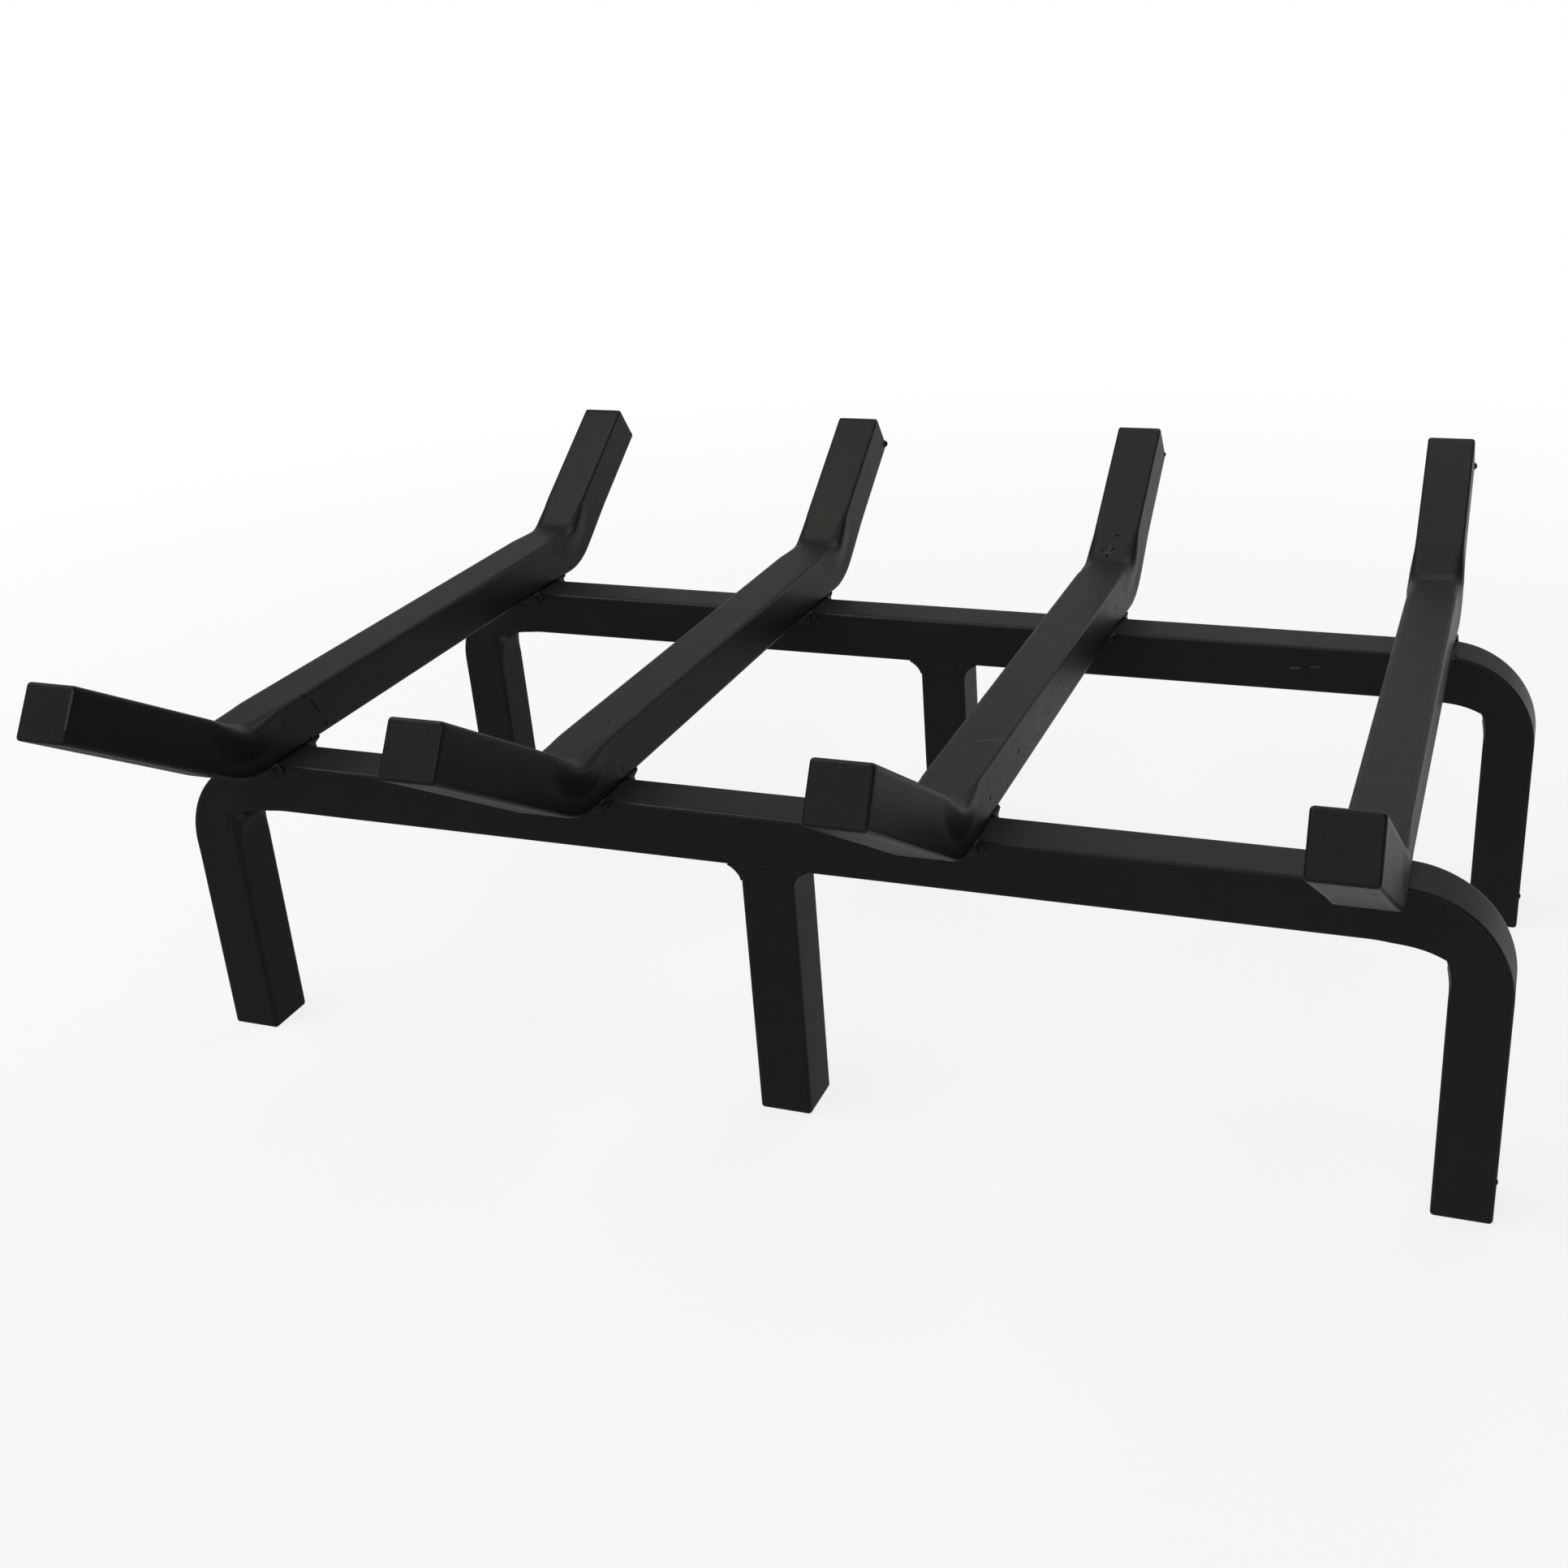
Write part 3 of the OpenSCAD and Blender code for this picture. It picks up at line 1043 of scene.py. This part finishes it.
def open_seam(bm, seed):
    """Draws the top ring in towards the middle, most at the left, so that a gap shows."""
    top = [v for v in bm.verts if v.co.z > RAIL_UNDERSIDE - SEAM_HEIGHT / 2]
    middle = sum((v.co for v in top), Vector()) / len(top)
    for vert in top:
        across = (vert.co.x - middle.x) / BAR + 0.5
        broken = noise.noise(Vector((vert.co.x / SEAM_BREAKS, seed * SEAM_SEED_STEP, 0)))
        open_here = 1 - SEAM_FADE * across + SEAM_RAGGEDNESS * broken
        depth = SEAM_DEPTH * min(max(open_here, 0.0), 1)
        aside = vert.co.y - middle.y
        vert.co.y -= math.copysign(min(depth, abs(aside)), aside)


def build_centre_leg(name, node, y, seed):
    """A straight leg between the rail's underside and the hearth."""
    bm = new_bar_mesh()
    down = Vector((0, 0, -1))
    ring = section_ring(bm, Vector((CENTRE_LEG_X, y, RAIL_UNDERSIDE)), SIDE, down)
    ring = run(bm, ring, down * SEAM_HEIGHT, 1)
    ring = run(bm, ring, down * SEAM_LIP, 1)
    ring = run(bm, ring, down * WELDED_HEIGHT, WELDED_STEPS)
    rest = RAIL_UNDERSIDE - SEAM_HEIGHT - SEAM_LIP - WELDED_HEIGHT
    run(bm, ring, down * rest, steps_for(rest, COARSE_STEP))
    bmesh.ops.recalc_face_normals(bm, faces=bm.faces[:])
    uneven(bm, seed)
    for vert in bm.verts:
        if vert.is_boundary:
            vert.co.z = round(vert.co.z / RAIL_UNDERSIDE) * RAIL_UNDERSIDE
    fill_edges_under_rail(bm, y)
    open_seam(bm, seed)
    top_edges = [e for e in bm.edges if e.is_boundary and e.verts[0].co.z > HALF]
    bmesh.ops.holes_fill(bm, edges=top_edges, sides=0)
    cap_ends(bm)
    finish_piece(bm, name, node, [bar_paint, sawn_paint])


build_centre_leg("sawn_front_leg", "front_center_leg", -RAIL_Y, 3)
build_centre_leg("sawn_rear_leg", "rear_center_leg", RAIL_Y, 4)
print("pieces so far:", len(pieces_made))

# %% [markdown]
# ## The log bars
#
# Each log bar is bent up at both ends. The ring starts at the front tip's sawn end
# and walks the whole bar. The inside of these bends is a corner with a small radius,
# where the punch of the press sat, and the sides bulge there.

# %% The bends of a log bar
LOG_INNER = LOG_BEND - BAR
LOG_MID_RADIUS = LOG_BEND - HALF
PUNCH_RADIUS = 11.5 * MM
LOG_PRESS = dict(
    bulge=1.5 * MM,
    bulge_reach=21 * MM,
    neck=0.8 * MM,
    soft_radius=4.8 * MM,
    soft_reach=30 * MM,
)
LOG_BEND_STEPS = 18


def punched_corner(half_turn):
    """The shift that turns a bend's inner arc into two flats with a tighter corner."""
    closer = LOG_INNER - PUNCH_RADIUS
    to_punch = closer / math.cos(half_turn)
    flat_from = half_turn - math.atan(closer * math.tan(half_turn) / LOG_INNER)

    def shift(angle, along, sideways):
        """The same all across the bar: only the angle counts."""
        away = abs(angle)
        if away >= half_turn:
            return 0.0
        if away > flat_from:
            return LOG_INNER / math.cos(half_turn - away) - LOG_INNER
        square = PUNCH_RADIUS**2 - (to_punch * math.sin(away)) ** 2
        return to_punch * math.cos(away) + math.sqrt(square) - LOG_INNER

    return shift


# %% Drips, spatters and runs on the log bars
TIP_DRIP_RADIUS = {1: 1.1 * MM, 2: 1.6 * MM, 3: 1.1 * MM, 4: 1.6 * MM}
TIP_DRIP_STANDS_OUT = {1: 0.3 * MM, 2: 1.2 * MM, 3: 0.5 * MM, 4: 1.1 * MM}
TIP_DRIP_PLACE = (191.6, 161.0)
BEND_DRIP = Vector((1.0, 1.3, 0.8)) * MM
BEND_DRIP_SUNK = -0.3 * MM
BEND_DRIP_PLACE = (-82.3, 132.6)
SMALL_SPATTER = Vector((0.6, 1.0, 0.9)) * MM
SPATTER_PLACES = [(-72.9, 117.1), (-83.0, 115.6)]
RUN_WIDTH = 0.35 * MM
RUN_TOP = (-80.2, 130.0)
RUN_FOOT = (-74.3, 121.4)


def on_side(x, place):
    """A place in millimetres along and up the side of a bar, as a point at this x."""
    return Vector((x, place[0] * MM, place[1] * MM))


def add_drips(bm, i):
    """The drip at the rear tip, and on the first bar what dripped and spattered there."""
    right = log_bar_x(i) + HALF
    radius = TIP_DRIP_RADIUS[i]
    drip_x = right + TIP_DRIP_STANDS_OUT[i] - radius
    lump(bm, on_side(drip_x, TIP_DRIP_PLACE), Vector((radius, radius, radius)))
    if i == 1:
        lump(bm, on_side(right + BEND_DRIP_SUNK, BEND_DRIP_PLACE), BEND_DRIP)
        paint_run(bm, on_side(right, RUN_TOP), on_side(right, RUN_FOOT), RUN_WIDTH)
        for place in SPATTER_PLACES:
            lump(bm, on_side(right, place), SMALL_SPATTER)


# %% Build a log bar
LOG_BAR_SEED = 10


def build_log_bar(i):
    """A log bar from its front tip to its rear tip."""
    x = log_bar_x(i)
    bm = new_bar_mesh()
    across = Vector((1, 0, 0))
    front_inset = LOG_MID_RADIUS * math.tan(FRONT_RISE / 2)
    rear_inset = LOG_MID_RADIUS * math.tan(REAR_RISE / 2)
    tip_way = Vector((0, -math.cos(FRONT_RISE), math.sin(FRONT_RISE)))
    start = Vector((x, -FRONT_CORNER, LOG_AXIS_Z)) + tip_way * FRONT_TIP
    ring = section_ring(bm, start, across, -tip_way)
    ring = run_to_bend(bm, ring, -tip_way, FRONT_TIP - front_inset)
    front_centre = Vector((x, -FRONT_CORNER + front_inset, LOG_AXIS_Z + LOG_MID_RADIUS))
    ring = turn(bm, ring, front_centre, across, FRONT_RISE, LOG_BEND_STEPS)
    back = Vector((0, 1, 0))
    middle_run = FRONT_CORNER - front_inset + REAR_CORNER - rear_inset
    ring = run_from_bend(bm, ring, back, middle_run / 2)
    ring = run_to_bend(bm, ring, back, middle_run / 2)
    rear_centre = Vector((x, REAR_CORNER - rear_inset, LOG_AXIS_Z + LOG_MID_RADIUS))
    ring = turn(bm, ring, rear_centre, across, REAR_RISE, LOG_BEND_STEPS)
    rear_way = Vector((0, math.cos(REAR_RISE), math.sin(REAR_RISE)))
    run_from_bend(bm, ring, rear_way, REAR_TIP - rear_inset)

    front_middle = Vector((0, -math.sin(FRONT_RISE / 2), -math.cos(FRONT_RISE / 2)))
    rear_middle = Vector((0, math.sin(REAR_RISE / 2), -math.cos(REAR_RISE / 2)))
    for centre, middle, rise in (
        (front_centre, front_middle, FRONT_RISE),
        (rear_centre, rear_middle, REAR_RISE),
    ):
        bend = Bend(centre, middle, across, rise, LOG_INNER)
        press_bend(bm, bend, punched_corner(rise / 2), **LOG_PRESS)
    bmesh.ops.recalc_face_normals(bm, faces=bm.faces[:])
    uneven(bm, LOG_BAR_SEED + i)
    cap_ends(bm)
    add_drips(bm, i)
    node = f"log_bar_{i}"
    paints = [log_bar_paints[node], sawn_paint]
    finish_piece(bm, f"bent_{node}", node, paints)


for i in LOG_BARS:
    build_log_bar(i)
print("pieces so far:", len(pieces_made))

# %% [markdown]
# ## The welds
#
# Each log bar is welded to a rail in the two corners under it, and each centre leg to
# its rail in the two corners beside it. A weld is laid down in short steps, so it has
# faint crescent ripples, a hollow face, and lumps where the welder started and
# stopped. A row of squashed balls could make it, but they never look hollow. So a
# small grid is bent into the corner as a hollow sheet with ripples, its rim is pulled
# back to the root, and only the lumps are balls. A voxel remesh melts all of it into
# one skin, and a light smoothing rounds it as the thick paint does on the real one.

# %% The hollow body of a weld
ACROSS = 14
ALONG = 76
ROOT_DEPTH = 0.9 * MM
RIPPLE_PITCH = 1.9 * MM
RIPPLE_HEIGHT = 0.2 * MM
RIPPLE_CURVE = 1.3
WELD_WAVER = 0.10
WAVER_LENGTH = 6 * MM
WAVER_SEED_STEPS = (7.1, 3.3)
END_SQUARENESS = 6
OUTWARD = Vector((1, 0, -1)).normalized()


def weld_body(bm, out, down, length, end_size, seed):
    """A hollow fillet, rippled if its ends taper. X points out and Y along the corner."""
    grid = bmesh.ops.create_grid(bm, x_segments=ACROSS, y_segments=ALONG, size=0.5)
    hollow = math.sqrt(2) * FILLET_HOLLOW
    seed_x, seed_z = (seed * step for step in WAVER_SEED_STEPS)
    for vert in grid["verts"]:
        across = vert.co.x + 0.5
        along = 2 * vert.co.y
        y = along * length / 2
        waver = WELD_WAVER * noise.noise(Vector((seed_x, y / WAVER_LENGTH, seed_z)))
        full = math.sqrt(max(1 - abs(along) ** END_SQUARENESS, 0))
        size = (end_size + (1 - end_size) * full) * (1 + waver)
        low = Vector((0, y, -down * size))
        pull = Vector((out * size / 2 - hollow, y, hollow - down * size / 2))
        high = Vector((out * size, y, 0))
        point = low * (1 - across) ** 2 + pull * 2 * across * (1 - across) + high * across**2
        crescent = y / RIPPLE_PITCH + RIPPLE_CURVE * (across - 0.5) ** 2
        ripple = abs(math.sin(math.pi * crescent)) * math.sqrt(max(4 * across * (1 - across), 0))
        vert.co = point + OUTWARD * RIPPLE_HEIGHT * ripple * (1 - end_size)
    rim = [e for e in bm.edges if e.is_boundary]
    pulled = bmesh.ops.extrude_edge_only(bm, edges=rim)["geom"]
    for part in pulled:
        if isinstance(part, bmesh.types.BMVert):
            part.co = Vector((-ROOT_DEPTH, part.co.y, ROOT_DEPTH))
    bmesh.ops.remove_doubles(bm, verts=bm.verts[:], dist=HAIR)
    bmesh.ops.recalc_face_normals(bm, faces=bm.faces[:])


# %% Melt a weld together and place it
WELD_VOXEL = 0.32 * MM
WELD_SMOOTHING = 26


def melted(bm):
    """The mesh as one skin: remeshed, smoothed and given back as a bmesh."""
    mesh = bpy.data.meshes.new("melting")
    bm.to_mesh(mesh)
    bm.free()
    raw = bpy.data.objects.new("melting", mesh)
    bpy.context.collection.objects.link(raw)
    skin = raw.modifiers.new("skin", "REMESH")
    skin.mode = "VOXEL"
    skin.voxel_size = WELD_VOXEL
    soften = raw.modifiers.new("soften", "SMOOTH")
    soften.iterations = WELD_SMOOTHING
    bpy.context.view_layer.update()
    out = bmesh.new()
    out.from_object(raw, bpy.context.evaluated_depsgraph_get())
    bpy.data.objects.remove(raw)
    bpy.data.meshes.remove(mesh)
    for face in out.faces:
        face.smooth = True
    return out


def build_weld(name, node, corner, angle, out, down, length, end_size, seed, lumps):
    """A weld in the corner that starts at corner and looks along angle, seen from above."""
    bm = bmesh.new()
    weld_body(bm, out, down, length, end_size, seed)
    for place, radii in lumps(random.Random(seed), out, down, length):
        lump(bm, place, radii)
    place_in_corner = Matrix.Translation(corner) @ Matrix.Rotation(angle, 4, "Z")
    bmesh.ops.transform(bm, matrix=place_in_corner, verts=bm.verts[:])
    finish_piece(melted(bm), name, node, [weld_paint])


# %% The welds under the log bars
OVERRUN = 1.2 * MM
SHORT_WELD = -3.2 * MM
SHORT_WELDS = ["4_front_outer", "4_front_inner"]
FRONT_REACH = 5.8 * MM
BACK_REACH = 10.5 * MM
BAR_WELD_DROP = 6.0 * MM
BAR_WELD_END = 0.5
BAR_WELD_SEED = 100
STOP_LUMP = Vector((1.1, 4.2, 2.1)) * MM
STOP_PLACE = Vector((0.4, 1.9, 2.3)) * MM
STOP_SWELL = (0.85, 1.15)
LOW_LUMP_OUT = 0.25
LOW_LUMP_DOWN = 0.45
LOW_LUMP_FROM_END = 2 * MM
LOW_LUMP_WIDTH = 0.3
LOW_LUMP_LENGTH = 2.6 * MM
LOW_LUMP_HEIGHT = 0.34
FACE_LUMPS = 3
FACE_LUMP_DOWN = (0.15, 0.4)
FACE_LUMP_OUT = (0.3, 0.5)
FACE_LUMP_ALONG = (-0.4, 0.4)
FACE_LUMP_RADIUS_MM = (1.1, 1.7)
FACE_LUMP_STRETCH = 1.3


def bar_weld_lumps(rng, out, down, length):
    """Lumps that run out past the bar's sides at both ends, and a few along the face."""
    low_lump = Vector((LOW_LUMP_WIDTH * out, LOW_LUMP_LENGTH, LOW_LUMP_HEIGHT * down))
    for end in (-1, 1):
        swell = rng.uniform(*STOP_SWELL)
        aside = end * (length / 2 - STOP_PLACE.y)
        yield Vector((STOP_PLACE.x, aside, -STOP_PLACE.z)), STOP_LUMP * swell
        aside = end * (length / 2 - LOW_LUMP_FROM_END)
        yield Vector((LOW_LUMP_OUT * out, aside, -LOW_LUMP_DOWN * down)), low_lump * swell
    for _ in range(FACE_LUMPS):
        z = -rng.uniform(*FACE_LUMP_DOWN) * down
        x = rng.uniform(*FACE_LUMP_OUT) * out
        y = rng.uniform(*FACE_LUMP_ALONG) * length
        radius = rng.uniform(*FACE_LUMP_RADIUS_MM) * MM
        yield Vector((x, y, z)), Vector((radius, radius * FACE_LUMP_STRETCH, radius))


for i in LOG_BARS:
    for place_name, rail_y in (("front", -RAIL_Y), ("rear", RAIL_Y)):
        for face_name, toward in (("outer", 1), ("inner", -1)):
            way = math.copysign(1, rail_y) * toward
            corner = Vector((log_bar_x(i), rail_y + way * HALF, RAIL_TOP))
            reach = BACK_REACH if way > 0 else FRONT_REACH
            tag = f"{i}_{place_name}_{face_name}"
            seed = BAR_WELD_SEED + 10 * i + int(2 * way) + len(place_name)
            length = BAR + 2 * (SHORT_WELD if tag in SHORT_WELDS else OVERRUN)
            build_weld(
                f"bead_{tag}", f"weld_{tag}", corner, way * math.pi / 2, reach,
                BAR_WELD_DROP, length, BAR_WELD_END, seed, bar_weld_lumps,
            )
print("pieces so far:", len(pieces_made))

# %% The welds beside the centre legs
LEG_WELD_LENGTH = BAR + 0.1 * MM
LEG_WELD_END = 1.0
LEG_WELD_SEED = 200
SOFT_LUMP = Vector((1.2, 2.6, 1.2)) * MM
SOFT_LUMP_PLACE = 0.26
SOFT_LUMP_ALONG = (-0.3, 0.3)
TOE_STEPS = 7
TOE_RADIUS_MM = (0.40, 0.62)
TOE_LENGTH = 1.7 * MM
TOE_OUT = 0.1 * MM
TOE_DOWN = 0.96


def leg_weld_lumps(rng, out, down, length):
    """One soft lump on the hollow face, and a thin line of paint along the lower toe."""
    y = rng.uniform(*SOFT_LUMP_ALONG) * length
    yield Vector((SOFT_LUMP_PLACE * out, y, -SOFT_LUMP_PLACE * down)), SOFT_LUMP
    for step in range(TOE_STEPS):
        radius = rng.uniform(*TOE_RADIUS_MM) * MM
        y = (step - TOE_STEPS // 2) * length / TOE_STEPS
        yield Vector((TOE_OUT, y, -TOE_DOWN * down)), Vector((radius, TOE_LENGTH, radius))


for place_name, y in (("front", -RAIL_Y), ("rear", RAIL_Y)):
    for side_name, way in (("left", -1), ("right", 1)):
        corner = Vector((CENTRE_LEG_X + way * HALF, y, RAIL_UNDERSIDE))
        angle = 0.0 if way > 0 else math.pi
        seed = LEG_WELD_SEED + len(pieces_made)
        build_weld(
            f"fillet_{place_name}_{side_name}", f"weld_{place_name}_leg_{side_name}", corner, angle,
            FILLET_LEG, FILLET_LEG, LEG_WELD_LENGTH, LEG_WELD_END, seed, leg_weld_lumps,
        )
print("pieces so far:", len(pieces_made))

# %% [markdown]
# ## Floor, background and light
#
# The photograph has a plain white background. A large pale floor carries the
# object's shadow, and the camera sees it lifted towards white, more so further away.
# Glossy paint mirrors that floor, and there it is held at a dimmer white, a little
# brighter to the right, to the back and in the corner behind the right-hand end. The
# light comes from two soft square panels above, a strong one at the left and a weaker
# one at the back right. The room is bright behind the camera and in a low band at the
# back, and dark elsewhere. All levels were fitted to the tones of the bars' faces in
# the photograph.

# %% Floor
FLOOR_SIZE = 30.0
FLOOR_COLOUR = (0.80, 0.80, 0.79, 1.0)
NEAR_WHITE = 0.82
FAR_WHITE = 1.0
WHITE_FROM = 0.35
WHITE_TO = 1.1
MIRRORED_WHITE = 0.35
MIRRORED_RIGHT = 0.20
RIGHT_X = (-0.25, 0.35)
MIRRORED_BACK = 0.10
BACK_Y = (-0.1, 0.5)
MIRRORED_CORNER = 0.25
CORNER_X = (0.08, 0.18)
CORNER_Y = (0.14, 0.21)

floor_mesh = bmesh.new()
bmesh.ops.create_grid(floor_mesh, x_segments=1, y_segments=1, size=FLOOR_SIZE / 2)
floor_data = bpy.data.meshes.new("floor")
floor_mesh.to_mesh(floor_data)
floor_mesh.free()
floor = bpy.data.objects.new("floor", floor_data)
bpy.context.collection.objects.link(floor)
floor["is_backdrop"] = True

floor_material = bpy.data.materials.new("pale_floor")
n = empty_nodes(floor_material)
floor_place = n.add("ShaderNodeTexCoord").outputs["Object"]
floor_distance = n.add("ShaderNodeVectorMath", operation="LENGTH")
n.link(floor_place, floor_distance.inputs[0])
rays = n.add("ShaderNodeLightPath")
whiteness = n.span(floor_distance.outputs["Value"], WHITE_FROM, WHITE_TO, NEAR_WHITE, FAR_WHITE)
seen = n.math("MULTIPLY", rays.outputs["Is Camera Ray"], whiteness)
mirrored = n.math("MAXIMUM", rays.outputs["Is Glossy Ray"], rays.outputs["Is Transmission Ray"])
part = n.add("ShaderNodeSeparateXYZ")
n.link(floor_place, part.inputs["Vector"])
gain_right = n.span(part.outputs["X"], *RIGHT_X, 0.0, MIRRORED_RIGHT)
gain_back = n.span(part.outputs["Y"], *BACK_Y, 0.0, MIRRORED_BACK)
across_corner = n.span(part.outputs["X"], *CORNER_X)
into_corner = n.span(part.outputs["Y"], *CORNER_Y)
in_corner = n.math("MULTIPLY", across_corner, into_corner)
gains = n.math("MULTIPLY_ADD", in_corner, MIRRORED_CORNER, n.math("ADD", gain_right, gain_back))
mirror_level = n.math("ADD", gains, MIRRORED_WHITE)
level = n.math("MULTIPLY", mirrored, n.math("SUBTRACT", mirror_level, 1.0))
matt = n.add("ShaderNodeBsdfDiffuse", {"Color": FLOOR_COLOUR})
white = n.add("ShaderNodeEmission", {"Color": (1, 1, 1, 1)})
n.link(n.math("ADD", level, 1.0), white.inputs["Strength"])
blend = n.add("ShaderNodeMixShader")
n.link(n.math("ADD", seen, mirrored), blend.inputs[0])
n.link(matt.outputs[0], blend.inputs[1])
n.link(white.outputs[0], blend.inputs[2])
n.link(blend.outputs[0], n.add("ShaderNodeOutputMaterial").inputs["Surface"])
floor.data.materials.append(floor_material)

# %% World and lamps
ROOM_COLOUR = (0.98, 0.98, 0.95, 1.0)
ROOM_FRONT = 1.05
FRONT_SPAN = (-0.2, -0.8)
BACKDROP_LIGHT = 0.63
BACK_SPAN = (0.3, 0.8)
BAND_TOP = (0.62, 0.42)

world = bpy.data.worlds.new("studio")
bpy.context.scene.world = world
n = empty_nodes(world)
way = n.add("ShaderNodeSeparateXYZ")
n.link(n.add("ShaderNodeTexCoord").outputs["Generated"], way.inputs["Vector"])
in_front = n.span(way.outputs["Y"], *FRONT_SPAN, 0.0, ROOM_FRONT)
to_back = n.span(way.outputs["Y"], *BACK_SPAN, 0.0, BACKDROP_LIGHT)
under_edge = n.span(way.outputs["Z"], *BAND_TOP)
level = n.math("MULTIPLY_ADD", to_back, under_edge, in_front)
room = n.add("ShaderNodeBackground", {"Color": ROOM_COLOUR})
n.link(level, room.inputs["Strength"])
backdrop = n.add("ShaderNodeBackground", {"Color": (1, 1, 1, 1), "Strength": 1.0})
pick = n.add("ShaderNodeMixShader")
n.link(n.add("ShaderNodeLightPath").outputs["Is Camera Ray"], pick.inputs[0])
n.link(room.outputs[0], pick.inputs[1])
n.link(backdrop.outputs[0], pick.inputs[2])
n.link(pick.outputs[0], n.add("ShaderNodeOutputWorld").inputs["Surface"])

MIDDLE = Vector((0, 0, 0.1))
PANEL_SIZE = 0.9
PANELS = [
    ("left_panel", Vector((-0.70, -0.26, 1.40)), 11.6, (1.0, 0.99, 0.94)),
    ("rear_panel", Vector((0.26, 0.70, 1.40)), 6.3, (1.0, 0.985, 0.93)),
]


def soft_panel(name, place, watts, colour):
    """A square soft lamp at place that faces the middle of the grate."""
    data = bpy.data.lights.new(name, "AREA")
    data.shape = "SQUARE"
    data.size = PANEL_SIZE
    data.energy = watts
    data.color = colour
    lamp = bpy.data.objects.new(name, data)
    lamp.location = place
    lamp.rotation_mode = "QUATERNION"
    lamp.rotation_quaternion = (MIDDLE - place).to_track_quat("-Z", "Y")
    bpy.context.collection.objects.link(lamp)


for panel in PANELS:
    soft_panel(*panel)

# %% [markdown]
# ## Check the size and finish
#
# The finished pieces have to stay inside the box of the CAD model.

# %% Sizes and finish
visual_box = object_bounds()
for k in range(3):
    low = (visual_box[0][k] - cad_box[0][k]) / MM
    high = (visual_box[1][k] - cad_box[1][k]) / MM
    print("XYZ"[k], "visual minus CAD:", round(low, 3), round(high, 3), "mm")
print("pieces:", len(pieces_made))
